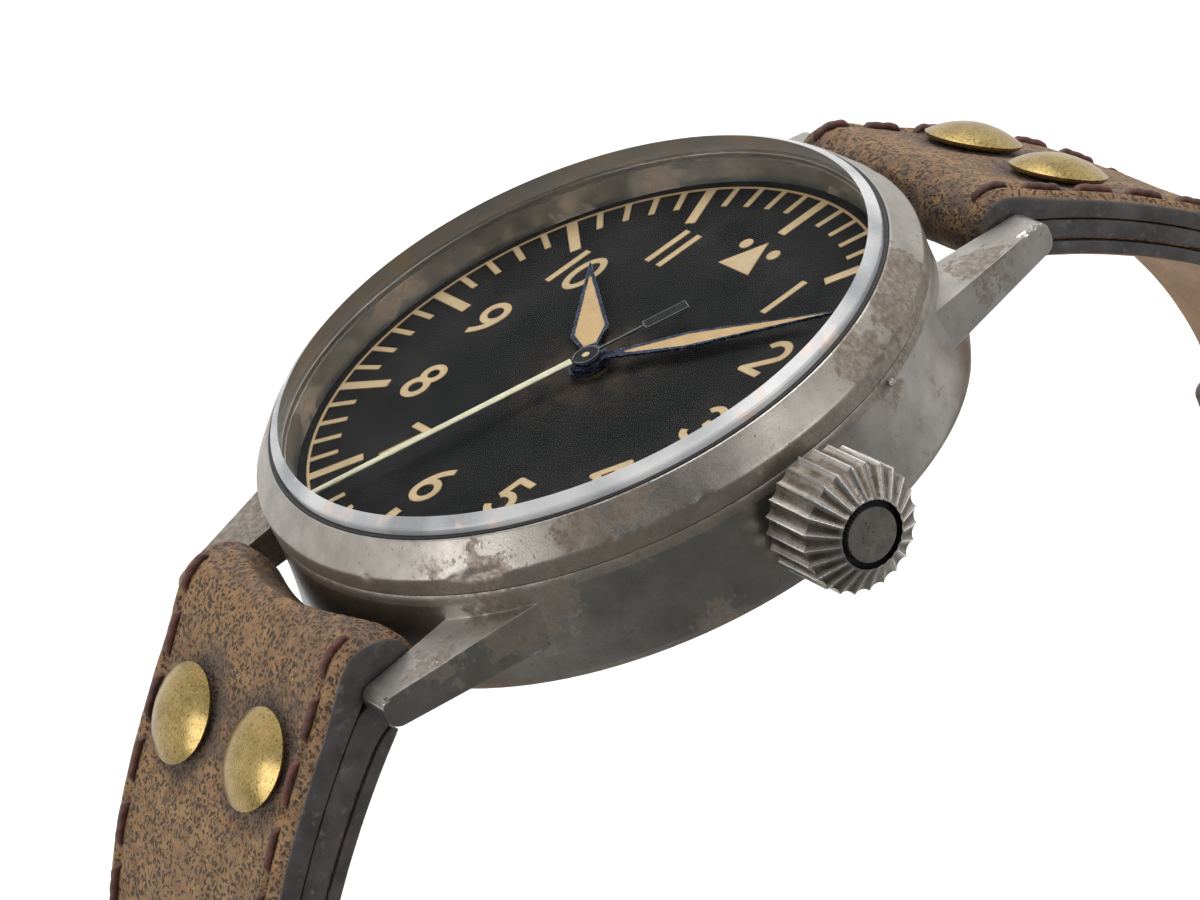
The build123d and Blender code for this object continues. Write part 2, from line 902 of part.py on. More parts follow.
# Train bridge and balance cock
def cock_outline(gap):
    reach = math.dist(balance_at, cock_pillar_at)
    lean = math.degrees(math.atan2(cock_pillar_at[1] - balance_at[1], cock_pillar_at[0] - balance_at[0]))
    middle = ((balance_at[0] + cock_pillar_at[0]) / 2, (balance_at[1] + cock_pillar_at[1]) / 2)
    with BuildSketch(Plane.XY.offset(bridge_bottom_z)) as outline:
        with Locations(Location(middle, lean)):
            SlotCenterToCenter(reach, 2 * (cock_half_w + gap))
    return outline.sketch


cock_face = cock_outline(0)
cock_opening = cock_outline(cock_gap)

with BuildPart() as train_bridge:
    tube(bridge_r, 0, bridge_bottom_z, bridge_top_z)
    post(balance_at, cock_clear_r, bridge_bottom_z, bridge_top_z, mode=Mode.SUBTRACT)
    extrude(cock_opening, amount=bridge_top_z - bridge_bottom_z, mode=Mode.SUBTRACT)
    tube(rotor_boss_r, 0, rotor_boss_z, bridge_bottom_z)
    for place in pillars_at:
        post(place, pillar_r, bridge_top_z, plate_bottom_z)
        post(place, screw_head_r, bridge_bottom_z, bridge_bottom_z + screw_head_h, mode=Mode.SUBTRACT)
        post(place, screw_shank_r, bridge_bottom_z, plate_bottom_z, mode=Mode.SUBTRACT)
    for place in pivots:
        post(place, arbor_r + run_gap, pivot_z_low - run_gap, bridge_top_z, mode=Mode.SUBTRACT)
    post(centre_at, sweep_arbor_r + run_gap, pivot_z_low - run_gap, bridge_top_z, mode=Mode.SUBTRACT)
    post(barrel_at, barrel_arbor_r, pivot_z_low, bridge_top_z, mode=Mode.SUBTRACT)
save(train_bridge.part, "train_bridge")

stud_r = 2 * hairspring_w
stud_at = step_from(balance_at, hairspring_outer_r + hairspring_w / 2 + stud_r, 0)

with BuildPart() as balance_cock:
    extrude(cock_face, amount=bridge_top_z - bridge_bottom_z)
    with BuildSketch(Plane.XY.offset(bridge_bottom_z)) as rim:
        Circle(bridge_r)
    extrude(rim.sketch, amount=bridge_top_z - bridge_bottom_z, mode=Mode.INTERSECT)
    post(balance_at, hairspring_outer_r + 2 * stud_r, bridge_bottom_z, bridge_top_z)
    post(stud_at, stud_r, bridge_top_z, hairspring_z + hairspring_h)
    post(cock_pillar_at, pillar_r, bridge_top_z, plate_bottom_z)
    post(cock_pillar_at, screw_head_r, bridge_bottom_z, bridge_bottom_z + screw_head_h, mode=Mode.SUBTRACT)
    post(cock_pillar_at, screw_shank_r, bridge_bottom_z, plate_bottom_z, mode=Mode.SUBTRACT)
    post(balance_at, arbor_r + run_gap, pivot_z_low - run_gap, bridge_top_z, mode=Mode.SUBTRACT)
save(balance_cock.part, "balance_cock")

# Going train. Each mesh has a tooth of one wheel on the centre line and a gap of the other facing it.
with BuildPart() as centre_wheel:
    gear(centre_at, centre_teeth, third_module, third_angle, centre_wheel_z, centre_wheel_z + wheel_t)
    gear(
        centre_at,
        centre_pinion_leaves,
        barrel_module,
        barrel_angle,
        centre_pinion_z,
        centre_wheel_z,
        leaves=True,
    )
    post(centre_at, centre_tube_r, centre_pinion_z - run_gap, centre_tube_top_z)
    post(
        centre_at,
        centre_tube_bore_r,
        centre_pinion_z - 2 * run_gap,
        centre_tube_top_z,
        mode=Mode.SUBTRACT,
    )
save(centre_wheel.part, "centre_wheel")

with BuildPart() as third_wheel:
    gear(
        third_at,
        third_pinion_leaves,
        third_module,
        third_angle + 180 + 180 / third_pinion_leaves,
        third_pinion_z,
        third_pinion_top_z,
        leaves=True,
    )
    gear(third_at, third_teeth, fourth_module, third_angle + 180, third_wheel_z, third_wheel_z + wheel_t)
    arbor(third_at)
save(third_wheel.part, "third_wheel")

with BuildPart() as fourth_wheel:
    gear(
        centre_at,
        fourth_pinion_leaves,
        fourth_module,
        third_angle + 180 / fourth_pinion_leaves,
        fourth_pinion_z,
        fourth_pinion_top_z,
        leaves=True,
    )
    gear(centre_at, fourth_teeth, escape_module, escape_angle, fourth_wheel_z, fourth_wheel_z + wheel_t)
    post(centre_at, sweep_arbor_r, pivot_z_low, second_hand_z + second_hand_t)
save(fourth_wheel.part, "fourth_wheel")

with BuildPart() as barrel:
    post(barrel_at, barrel_drum_r, barrel_drum_z, barrel_gear_z)
    gear(
        barrel_at,
        barrel_teeth,
        barrel_module,
        barrel_angle + 180 + 180 / barrel_teeth,
        barrel_gear_z,
        barrel_gear_z + barrel_gear_t,
    )
    post(barrel_at, barrel_cavity_r, barrel_drum_z, barrel_gear_z, mode=Mode.SUBTRACT)
    post(
        barrel_at,
        barrel_arbor_r + run_gap,
        barrel_drum_z,
        barrel_gear_z + barrel_gear_t,
        mode=Mode.SUBTRACT,
    )
save(barrel.part, "barrel")

with BuildPart() as barrel_arbor:
    post(barrel_at, barrel_arbor_r, pivot_z_low, pivot_z_high)
save(barrel_arbor.part, "barrel_arbor")


# A flat spiral strip, from its inner to its outer radius
def spiral(centre, inner_r, outer_r, turns, width, bottom, height, first_angle=0):
    steps = spiral_steps * turns
    inner_side = []
    outer_side = []
    for step in range(steps + 1):
        angle = first_angle - 360 * turns * (1 - step / steps)
        radius = inner_r + (outer_r - inner_r) * step / steps
        inner_side.append(step_from(centre, radius - width / 2, angle))
        outer_side.append(step_from(centre, radius + width / 2, angle))
    with BuildSketch(Plane.XY.offset(bottom)) as face:
        with BuildLine():
            Spline(*inner_side)
            Line(inner_side[-1], outer_side[-1])
            Spline(*outer_side)
            Line(outer_side[0], inner_side[0])
        make_face()
    extrude(face.sketch, amount=height)


with BuildPart() as mainspring:
    spiral(
        barrel_at,
        barrel_arbor_r + spring_in_gap,
        barrel_cavity_r - mainspring_w,
        mainspring_turns,
        mainspring_w,
        barrel_drum_z + mainspring_gap,
        barrel_gear_z - barrel_drum_z - 2 * mainspring_gap,
    )
save(mainspring.part, "mainspring")

# Escapement and balance
with BuildPart() as escape_wheel:
    gear(
        escape_at,
        escape_pinion_leaves,
        escape_module,
        escape_angle + 180 + 180 / escape_pinion_leaves,
        escape_pinion_z,
        escape_pinion_top_z,
        leaves=True,
    )
    pitch = 360 / escape_tooth_count
    with BuildSketch(Plane.XY.offset(escape_wheel_z)):
        with BuildLine():
            points = []
            for tooth in range(escape_tooth_count):
                points.append(step_from(escape_at, escape_rim_r, tooth * pitch))
                points.append(step_from(escape_at, escape_r, (tooth + escape_tip_share) * pitch))
                points.append(step_from(escape_at, escape_rim_r, (tooth + escape_heel_share) * pitch))
            Polyline(*points, close=True)
        make_face()
        with Locations(escape_at):
            Circle(escape_rim_inner_r, mode=Mode.SUBTRACT)
            Circle(escape_hub_r)
        with Locations(Location(escape_at, 0), Location(escape_at, 90)):
            Rectangle(2 * escape_rim_inner_r + wheel_t, escape_spoke_w)
    extrude(amount=wheel_t)
    arbor(escape_at)
save(escape_wheel.part, "escape_wheel")

stone_r = escape_r + stone_gap + pallet_distance / 2 * math.sin(math.radians(fork_swing))
with BuildPart() as pallet_fork:
    lever_len = balance_distance - impulse_pin_at - impulse_pin_r - 2 * stone_gap
    with BuildSketch(Plane.XY.offset(escape_wheel_z)):
        with Locations(pallet_at):
            Circle(fork_hub_r)
        with Locations(
            Location(step_from(pallet_at, lever_len / 2, balance_angle), balance_angle)
        ):
            Rectangle(lever_len, fork_w)
        for side in (stone_angle, -stone_angle):
            stone_at = step_from(escape_at, stone_r + fork_w / 2, pallet_angle + side)
            reach = math.dist(pallet_at, stone_at)
            lean = math.degrees(math.atan2(stone_at[1] - pallet_at[1], stone_at[0] - pallet_at[0]))
            with Locations(Location(step_from(pallet_at, reach / 2, lean), lean)):
                SlotCenterToCenter(reach, fork_arm_share * fork_w)
    extrude(amount=wheel_t)
    arbor(pallet_at)
save(pallet_fork.part, "pallet_fork")

with BuildPart() as balance_wheel:
    post(balance_at, balance_r, balance_z, balance_z + balance_t, inner=balance_r - balance_rim_w)
    with BuildSketch(Plane.XY.offset(balance_z)):
        with Locations(balance_at):
            Circle(roller_r)
        with Locations(*[Location(balance_at, angle) for angle in balance_spoke_angles]):
            Rectangle(2 * balance_r - balance_rim_w, balance_spoke_w)
    extrude(amount=balance_t)
    post(balance_at, roller_r, roller_z - wheel_t / 2, roller_z)
    post(step_from(balance_at, impulse_pin_at, balance_angle + 180), impulse_pin_r, roller_z, balance_z)
    post(balance_at, collet_r, hairspring_z, hairspring_z + hairspring_h)
    arbor(balance_at)
save(balance_wheel.part, "balance_wheel")

with BuildPart() as hairspring:
    spiral(
        balance_at,
        hairspring_inner_r,
        hairspring_outer_r,
        hairspring_turns,
        hairspring_w,
        hairspring_z,
        hairspring_h,
    )
save(hairspring.part, "hairspring")

# Winding rotor under the bridge
with BuildPart() as rotor:
    with BuildSketch(Plane.XY.offset(rotor_web_z)):
        Circle(rotor_rim_inner_r + wheel_t)
        Rectangle(2 * rotor_rim_r, rotor_rim_r, align=(Align.CENTER, Align.MAX), mode=Mode.SUBTRACT)
        Circle(rotor_hub_r)
        Circle(rotor_boss_r + run_gap, mode=Mode.SUBTRACT)
    extrude(amount=rotor_web_t)
    with BuildSketch(Plane.XY.offset(rotor_web_z)):
        Circle(rotor_rim_r)
        Circle(rotor_rim_inner_r, mode=Mode.SUBTRACT)
        Rectangle(2 * rotor_rim_r, rotor_rim_r, align=(Align.CENTER, Align.MAX), mode=Mode.SUBTRACT)
    extrude(amount=rotor_rim_top_z - rotor_web_z)
    tube(rotor_hub_r, rotor_boss_r + run_gap, rotor_web_z, rotor_web_z + 2 * rotor_web_t)
save(rotor.part, "rotor")

with BuildPart() as rotor_retainer:
    tube(rotor_retainer_r, 0, rotor_boss_z - rotor_retainer_t, rotor_boss_z)
save(rotor_retainer.part, "rotor_retainer")

# Motion work under the dial
with BuildPart() as cannon_pinion:
    gear(
        centre_at,
        cannon_leaves,
        motion_module,
        minute_angle,
        cannon_gear_z,
        cannon_gear_z + cannon_gear_t,
        leaves=True,
    )
    tube(cannon_root_r, 0, cannon_bottom_z, hour_gear_z - 2 * run_gap)
    tube(cannon_tube_r, 0, hour_gear_z - 2 * run_gap, cannon_top_z)
    tube(centre_tube_r, 0, cannon_bottom_z, centre_tube_top_z, mode=Mode.SUBTRACT)
    tube(centre_tube_bore_r, 0, centre_tube_top_z, cannon_top_z, mode=Mode.SUBTRACT)
save(cannon_pinion.part, "cannon_pinion")

with BuildPart() as minute_wheel:
    gear(
        minute_at,
        minute_teeth,
        motion_module,
        minute_angle + 180 + 180 / minute_teeth,
        cannon_gear_z,
        cannon_gear_z + cannon_gear_t,
    )
    gear(
        minute_at,
        minute_leaves,
        motion_module,
        minute_angle + 180,
        cannon_gear_z + cannon_gear_t,
        minute_leaf_z + minute_leaf_t,
        leaves=True,
    )
    post(
        minute_at,
        minute_stud_r + run_gap,
        cannon_gear_z,
        minute_leaf_z + minute_leaf_t,
        mode=Mode.SUBTRACT,
    )
save(minute_wheel.part, "minute_wheel")

with BuildPart() as hour_wheel:
    gear(
        centre_at,
        hour_teeth,
        motion_module,
        minute_angle + 180 / hour_teeth,
        hour_gear_z,
        hour_gear_z + hour_gear_t,
    )
    tube(hour_pipe_r, 0, hour_gear_z, hour_pipe_top_z)
    tube(hour_pipe_inner_r, 0, hour_gear_z, hour_pipe_top_z, mode=Mode.SUBTRACT)
save(hour_wheel.part, "hour_wheel")

# Dial and its print
with BuildPart() as dial:
    tube(dial_r, dial_hole_r, dial_bottom_z, dial_top_z)
save(dial.part, "dial")

stroke_half_w = (numeral_w - stroke) / 2
stroke_half_h = (numeral_h - stroke) / 2
low_bowl_r = low_bowl_share * stroke_half_h
top_bowl_r = stroke_half_h - low_bowl_r
wide_bowl_r = wide_bowl_share * stroke_half_w


# Centre lines of each numeral: straight runs by their points, arcs by start, middle and end, rings by
# centre height and radius
def numeral_lines(digit):
    w, h = stroke_half_w, stroke_half_h
    low_y = low_bowl_r - h
    top_y = h - top_bowl_r
    wide_y = wide_bowl_r - h
    round_y = h - w
    two_start, two_middle, two_end = [on_circle(round_y, w, angle) for angle in two_angles]
    three_start, three_middle = [on_circle(top_y, top_bowl_r, angle) for angle in three_angles]
    three_end, three_turn = [on_circle(low_y, low_bowl_r, -angle) for angle in three_angles]
    three_waist = (0, top_y - top_bowl_r)
    four_x, four_y = four_stem_share * w, -four_bar_share * h
    five_start, five_end = [on_circle(wide_y, wide_bowl_r, angle) for angle in five_angles]
    six_bend = (-six_bend_shares[0] * w, six_bend_shares[1] * h)
    shapes = {
        1: [("run", (0, -h - stroke / 2), (0, h + stroke / 2))],
        2: [("arc", two_start, two_middle, two_end), ("run", two_end, (-w, -h), (w, -h))],
        3: [("arc", three_start, three_middle, three_waist), ("arc", three_waist, three_turn, three_end)],
        4: [("run", (four_x, -h - stroke / 2), (four_x, h), (-w, four_y), (w, four_y))],
        5: [
            ("run", (five_flag_share * w, h), (-five_stem_share * w, h), five_start),
            ("arc", five_start, on_circle(wide_y, wide_bowl_r, 0), five_end),
        ],
        6: [
            ("ring", wide_y, wide_bowl_r),
            ("arc", (-wide_bowl_r, wide_y), six_bend, (six_end_share * w, h)),
        ],
        7: [("run", (-w, h), (w, h), (-seven_foot_share * w, -h - stroke / 2))],
        8: [("ring", top_y, top_bowl_r), ("ring", low_y, low_bowl_r)],
    }
    return shapes[digit]


def stroke_run(points, at):
    moved = [(at[0] + x, at[1] + y) for x, y in points]
    for first, second in zip(moved, moved[1:]):
        middle = ((first[0] + second[0]) / 2, (first[1] + second[1]) / 2)
        lean = math.degrees(math.atan2(second[1] - first[1], second[0] - first[0]))
        with Locations(Location(middle, lean)):
            Rectangle(math.dist(first, second), stroke)
    for corner in moved[1:-1]:
        with Locations(corner):
            Circle(stroke / 2)


def stroke_arc(points, at):
    moved = [(at[0] + x, at[1] + y) for x, y in points]
    with BuildLine() as curve:
        ThreePointArc(*moved)
    trace(curve.line, line_width=stroke)


def stroke_ring(centre_y, radius, at):
    with Locations((at[0], at[1] + centre_y)):
        Circle(radius + stroke / 2)
        Circle(radius - stroke / 2, mode=Mode.SUBTRACT)


def draw_digit(digit, at):
    turn = -1 if digit == 9 else 1
    if digit == 0:
        with Locations(at):
            Ellipse(numeral_w / 2, numeral_h / 2)
            Ellipse(numeral_w / 2 - stroke, numeral_h / 2 - stroke, mode=Mode.SUBTRACT)
        return
    for kind, *values in numeral_lines(6 if digit == 9 else digit):
        if kind == "ring":
            stroke_ring(turn * values[0], values[1], at)
        else:
            points = [(turn * x, turn * y) for x, y in values]
            draw = stroke_run if kind == "run" else stroke_arc
            draw(points, at)


def digit_face(digit, at):
    with BuildSketch(Plane.XY.offset(dial_top_z), mode=Mode.PRIVATE) as face:
        draw_digit(digit, at)
    return face.sketch


numeral_faces = []
for hour in range(1, hour_count):
    x, y = polar(numeral_r, clock(360 / hour_count * hour))
    if hour == 10:
        numeral_faces.append(digit_face(1, (x - ten_step / 2 - stroke / 2, y)))
        numeral_faces.append(digit_face(0, (x + ten_step / 2 - stroke / 2, y)))
    elif hour == 11:
        numeral_faces.append(digit_face(1, (x - eleven_step / 2, y)))
        numeral_faces.append(digit_face(1, (x + eleven_step / 2, y)))
    else:
        numeral_faces.append(digit_face(hour, (x, y)))

with BuildPart() as dial_print:
    with BuildSketch(Plane.XY.offset(dial_top_z)):
        Circle(track_r + track_line_w / 2)
        Circle(track_r - track_line_w / 2, mode=Mode.SUBTRACT)
        for tick in range(tick_count):
            major = tick % ticks_per_hour == 0
            inner_r = major_tick_inner_r if major else minor_tick_inner_r
            width = major_tick_w if major else minor_tick_w
            angle = 360 / tick_count * tick
            with Locations(Location(polar((inner_r + track_r) / 2, angle), angle)):
                Rectangle(track_r - inner_r, width)
    extrude(amount=print_t)
    for face in numeral_faces:
        extrude(face, amount=print_t)
    with BuildSketch(Plane.XY.offset(dial_top_z)):
        with BuildLine():
            Polyline(
                (-marker_half_w, marker_base_y),
                (marker_half_w, marker_base_y),
                (0, marker_apex_y),
                close=True,
            )
        make_face()
        with Locations((marker_dot_x, marker_dot_y), (-marker_dot_x, marker_dot_y)):
            Circle(marker_dot_r)
    extrude(amount=print_t)
save(dial_print.part, "dial_print")


# Hands, drawn along their own angle from (distance, half width) pairs
def blade(angle, outline, bottom, top, mode=Mode.ADD):
    right = [(reach, half) for reach, half in outline]
    left = [(reach, -half) for reach, half in reversed(outline) if half]
    turn = math.radians(clock(angle))
    points = [
        (
            reach * math.cos(turn) - side * math.sin(turn),
            reach * math.sin(turn) + side * math.cos(turn),
        )
        for reach, side in right + left
    ]
    with BuildSketch(Plane.XY.offset(bottom)) as face:
        with BuildLine():
            Polyline(*points, close=True)
        make_face()
    extrude(face.sketch, amount=top - bottom, mode=mode)


hour_outline = (
    (0, hour_neck_half),
    (hour_hub_r, hour_neck_half),
    (hour_wide_r, hour_wide_half),
    (hour_tip_r, 0),
)
hour_lume_outline = (
    (hour_lume_inner_r, hour_neck_half + lume_root_border),
    (hour_wide_r + hand_border / 2, hour_wide_half - hand_border),
    (hour_lume_tip_r, lume_root_border),
)
minute_outline = (
    (0, minute_neck_half),
    (minute_hub_r, minute_neck_half),
    (minute_wide_r, minute_wide_half),
    (minute_tip_r, 0),
)
minute_lume_outline = (
    (minute_lume_inner_r, hand_border / 2),
    (minute_wide_r, minute_wide_half - minute_lume_border),
    (minute_lume_tip_r, minute_lume_end_half),
)

with BuildPart() as hour_hand:
    tube(hour_hub_r, 0, hour_hand_z, hour_hand_z + hand_t)
    blade(hour_hand_angle, hour_outline, hour_hand_z, hour_hand_z + hand_t)
    blade(hour_hand_angle, hour_lume_outline, hour_hand_z, hour_hand_z + hand_t, mode=Mode.SUBTRACT)
    tube(hour_pipe_r, 0, hour_hand_z, hour_hand_z + hand_t, mode=Mode.SUBTRACT)
save(hour_hand.part, "hour_hand")

with BuildPart() as hour_lume:
    blade(hour_hand_angle, hour_lume_outline, hour_hand_z, hour_hand_z + lume_t)
save(hour_lume.part, "hour_lume")

with BuildPart() as minute_hand:
    tube(minute_hub_r, 0, minute_hand_z, minute_hand_z + hand_t)
    blade(minute_hand_angle, minute_outline, minute_hand_z, minute_hand_z + hand_t)
    blade(minute_hand_angle, minute_lume_outline, minute_hand_z, minute_hand_z + hand_t, mode=Mode.SUBTRACT)
    tube(cannon_tube_r, 0, minute_hand_z, minute_hand_z + hand_t, mode=Mode.SUBTRACT)
save(minute_hand.part, "minute_hand")

with BuildPart() as minute_lume:
    blade(minute_hand_angle, minute_lume_outline, minute_hand_z, minute_hand_z + lume_t)
save(minute_lume.part, "minute_lume")

second_top_z = second_hand_z + second_hand_t
second_outline = ((0, second_inner_half), (second_tip_r, second_tip_half))
rod_outline = ((0, counter_rod_half), (counter_rod_r, counter_rod_half))
counter_outline = ((counter_rod_r, counter_half), (counter_end_r, counter_half))

with BuildPart() as second_hand:
    tube(second_hub_r, 0, second_hand_z, second_top_z)
    blade(second_hand_angle, second_outline, second_hand_z, second_top_z)
    blade(second_hand_angle + 180, rod_outline, second_hand_z, second_top_z)
    blade(second_hand_angle + 180, counter_outline, second_hand_z, second_top_z)
    tube(sweep_arbor_r, 0, second_hand_z, second_top_z, mode=Mode.SUBTRACT)
save(second_hand.part, "second_hand")

with BuildPart() as second_lume:
    share = second_lume_inner_r / second_tip_r
    start_half = second_inner_half * (1 - share) + second_tip_half * share
    lume_outline = ((second_lume_inner_r, start_half), (second_tip_r, second_tip_half))
    blade(second_hand_angle, lume_outline, second_top_z, second_top_z + second_lume_t)
save(second_lume.part, "second_lume")

# Strap halves. A half is its side of the case, its first fold, its path and its thickness.
long_half = {
    "side": -1,
    "start": (bar_y + long_fold_out, bar_z + long_fold_up),
    "fold_r": long_fold_r,
    "heading": long_heading,
    "legs": long_legs,
    "thickness": (long_t_lug, long_t_tip, long_taper_len),
    "rivet_s": long_rivet_s,
}
short_half = {
    "side": 1,
    "start": (bar_y + short_fold_out, bar_z + short_fold_up),
    "fold_r": short_fold_r,
    "heading": short_heading,
    "legs": short_legs,
    "thickness": (short_t_lug, short_t_tip, short_taper_len),
    "rivet_s": short_rivet_s,
}


def strap_length(half):
    return sum(length for length, turn in half["legs"])


# Where the middle of the strap is after a length s: outward distance, height and heading below level
def strap_state(half, s):
    out, z = half["start"]
    heading = half["heading"]
    left = s
    for length, turn in half["legs"]:
        run = min(left, length)
        bend = turn * run / length
        if turn:
            radius = length / math.radians(turn)
            out += radius * (math.sin(math.radians(heading + bend)) - math.sin(math.radians(heading)))
            z += radius * (math.cos(math.radians(heading + bend)) - math.cos(math.radians(heading)))
        else:
            out += run * math.cos(math.radians(heading))
            z -= run * math.sin(math.radians(heading))
        heading += bend
        left -= run
        if left <= 0:
            break
    return out, z, heading


def strap_thickness(half, s):
    lug_t, end_t, taper = half["thickness"]
    return lug_t + (end_t - lug_t) * min(1, s / taper)


def strap_point(half, s, offset):
    out, z, heading = strap_state(half, s)
    bearing = math.radians(heading)
    return half["side"] * (out + offset * math.sin(bearing)), z + offset * math.cos(bearing)


# A plane on the strap at length s, raised by an offset, with its normal out of the strap
def strap_plane(half, s, offset=0):
    y, z = strap_point(half, s, offset)
    bearing = math.radians(strap_state(half, s)[2])
    normal = (0, half["side"] * math.sin(bearing), math.cos(bearing))
    return Plane(origin=(0, y, z), x_dir=(1, 0, 0), z_dir=normal)


def strap_stations(half):
    count = round(strap_length(half) / path_step)
    return [strap_length(half) * k / count for k in range(count + 1)]


def top_offset(half, s):
    return strap_thickness(half, s) / 2


def skin_offset(half, s):
    return strap_thickness(half, s) / 2 - strap_top_t


def lining_offset(half, s):
    return strap_lining_t - strap_thickness(half, s) / 2


def bottom_offset(half, s):
    return -strap_thickness(half, s) / 2


def band(half, low, high):
    stations = strap_stations(half)
    upper = [strap_point(half, s, high(half, s)) for s in stations]
    lower = [strap_point(half, s, low(half, s)) for s in stations]
    with BuildLine() as outline:
        Spline(*upper)
        Line(upper[-1], lower[-1])
        Spline(*lower)
        Line(lower[0], upper[0])
    make_face(outline.edges())


def fold_centres(half):
    folds = [(strap_point(half, 0, 0), half["fold_r"])]
    if half is short_half:
        folds.append((strap_point(half, strap_length(half), 0), buckle_fold_r))
    return folds


bar_holes = {
    -1: [((-bar_y, bar_z), strap_hole_r)],
    1: [
        ((bar_y, bar_z), strap_hole_r),
        (strap_point(short_half, strap_length(short_half), 0), buckle_bar_r + run_gap),
    ],
}


# The case, widened by its clearance, as the strap half meets it while it swings
def case_sweep(half, swing):
    bar = (0, half["side"] * bar_y, bar_z)
    case = Cylinder(case_band_r + case_clear, case_sweep_h, mode=Mode.PRIVATE)
    turn = Location((0, 0, 0), (-half["side"] * swing, 0, 0))
    return case.moved(Location(bar) * turn * Location((0, -bar[1], -bar[2])))


def strap_layer(half, name, low, high, with_folds):
    with BuildPart() as layer:
        with BuildSketch(Plane.YZ) as side_face:
            band(half, low, high)
            for centre, radius in fold_centres(half):
                with Locations(centre):
                    Circle(radius, mode=Mode.ADD if with_folds else Mode.SUBTRACT)
            for centre, radius in bar_holes[half["side"]]:
                with Locations(centre):
                    Circle(radius, mode=Mode.SUBTRACT)
        extrude(side_face.sketch, amount=strap_half_w, both=True)
        if with_folds:
            for swing in range(0, strap_swing + 1, strap_swing_step):
                add(case_sweep(half, swing), mode=Mode.SUBTRACT)
        for x in (rivet_x, -rivet_x):
            punch(half, half["rivet_s"], x, rivet_shank_r)
        if half is long_half:
            for index in range(strap_hole_count):
                hole_s = strap_length(half) - strap_hole_from_tip - index * strap_hole_pitch
                punch(half, hole_s, 0, tongue_hole_r)
            point_tail()
        else:
            with BuildSketch(strap_plane(half, strap_length(half), -half["fold_r"])) as slot:
                Rectangle(2 * buckle_slot_half, 2 * buckle_slot_len)
            extrude(slot.sketch, amount=2 * half["fold_r"], mode=Mode.SUBTRACT)
    save(layer.part, name)


def punch(half, s, x, radius):
    depth = strap_thickness(half, s)
    with BuildSketch(strap_plane(half, s, -depth)) as hole:
        with Locations((x, 0)):
            Circle(radius)
    extrude(hole.sketch, amount=2 * depth, mode=Mode.SUBTRACT)


# Rounds the two corners of the tail to a blunt point
def point_tail():
    end_y, end_z = strap_point(long_half, strap_length(long_half), 0)
    with BuildSketch(Plane.XY.offset(end_z - long_t_tip)) as corners:
        for side in (1, -1):
            wide = (side * strap_half_w, end_y - tail_point_len)
            nose = (side * tail_nose_half, end_y)
            outside = (side * (strap_half_w + tail_margin), end_y + tail_margin)
            bulge = (
                side * (tail_nose_half + tail_bulge_shares[0] * (strap_half_w - tail_nose_half)),
                end_y - tail_bulge_shares[1] * tail_point_len,
            )
            with BuildLine():
                ThreePointArc(wide, bulge, nose)
                Polyline(nose, (nose[0], outside[1]), outside, (outside[0], wide[1]), wide)
            make_face()
    extrude(corners.sketch, amount=2 * long_t_tip, mode=Mode.SUBTRACT)


for half, half_name in ((long_half, "long"), (short_half, "short")):
    strap_layer(half, half_name + "_leather", skin_offset, top_offset, True)
    strap_layer(half, half_name + "_filler", lining_offset, skin_offset, False)
    strap_layer(half, half_name + "_lining", bottom_offset, lining_offset, False)


# Rivets: a domed head with its shank through the strap, and a cap behind it
def rivets(half, name):
    depth = strap_thickness(half, half["rivet_s"]) + rivet_lift + rivet_back_lift
    dome_x, dome_drop = dome_middle(rivet_r, rivet_h - rivet_rim_h)
    with BuildPart() as rivet:
        with BuildSketch(Plane.XZ):
            with BuildLine():
                Line((0, -depth), (0, rivet_h))
                ThreePointArc((0, rivet_h), (dome_x, rivet_h - dome_drop), (rivet_r, rivet_rim_h))
                ThreePointArc(
                    (rivet_r, rivet_rim_h),
                    (
                        rivet_foot_r + rivet_under_share * (rivet_r - rivet_foot_r),
                        rivet_under_rise_share * rivet_rim_h,
                    ),
                    (rivet_foot_r, 0),
                )
                Polyline(
                    (rivet_foot_r, 0),
                    (rivet_shank_r, 0),
                    (rivet_shank_r, -depth),
                    (rivet_back_r, -depth),
                    (rivet_back_r, -depth - rivet_back_t),
                    (0, -depth - rivet_back_t),
                    (0, -depth),
                )
            make_face()
        revolve(axis=Axis.Z)
    seat = strap_plane(half, half["rivet_s"], top_offset(half, half["rivet_s"]) + rivet_lift)
    with BuildPart() as group:
        with Locations(*[seat.location * Location((x, 0, 0)) for x in (rivet_x, -rivet_x)]):
            add(rivet.part)
    save(group.part, name)


rivets(long_half, "long_rivets")
rivets(short_half, "short_rivets")


# Stitches: one thread bar for each stitch, laid on the leather along both edges
def stitches(half, name):
    count = int((strap_length(half) - stitch_first_s - stitch_end_margin) / stitch_pitch)
    with BuildPart() as stitch:
        Cylinder(stitch_r, stitch_len - 2 * stitch_r, rotation=(90, 0, 0))
        with Locations((0, stitch_len / 2 - stitch_r, 0), (0, stitch_r - stitch_len / 2, 0)):
            Sphere(stitch_r)
    with BuildPart() as group:
        places = []
        for index in range(count):
            s = stitch_first_s + index * stitch_pitch
            plane = strap_plane(half, s, top_offset(half, s) + stitch_r + stitch_lift)
            for x in (stitch_x, -stitch_x):
                places.append(plane.location * Location((x, 0, 0)))
        with Locations(*places):
            add(stitch.part)
    save(group.part, name)


stitches(long_half, "long_stitches")
stitches(short_half, "short_stitches")


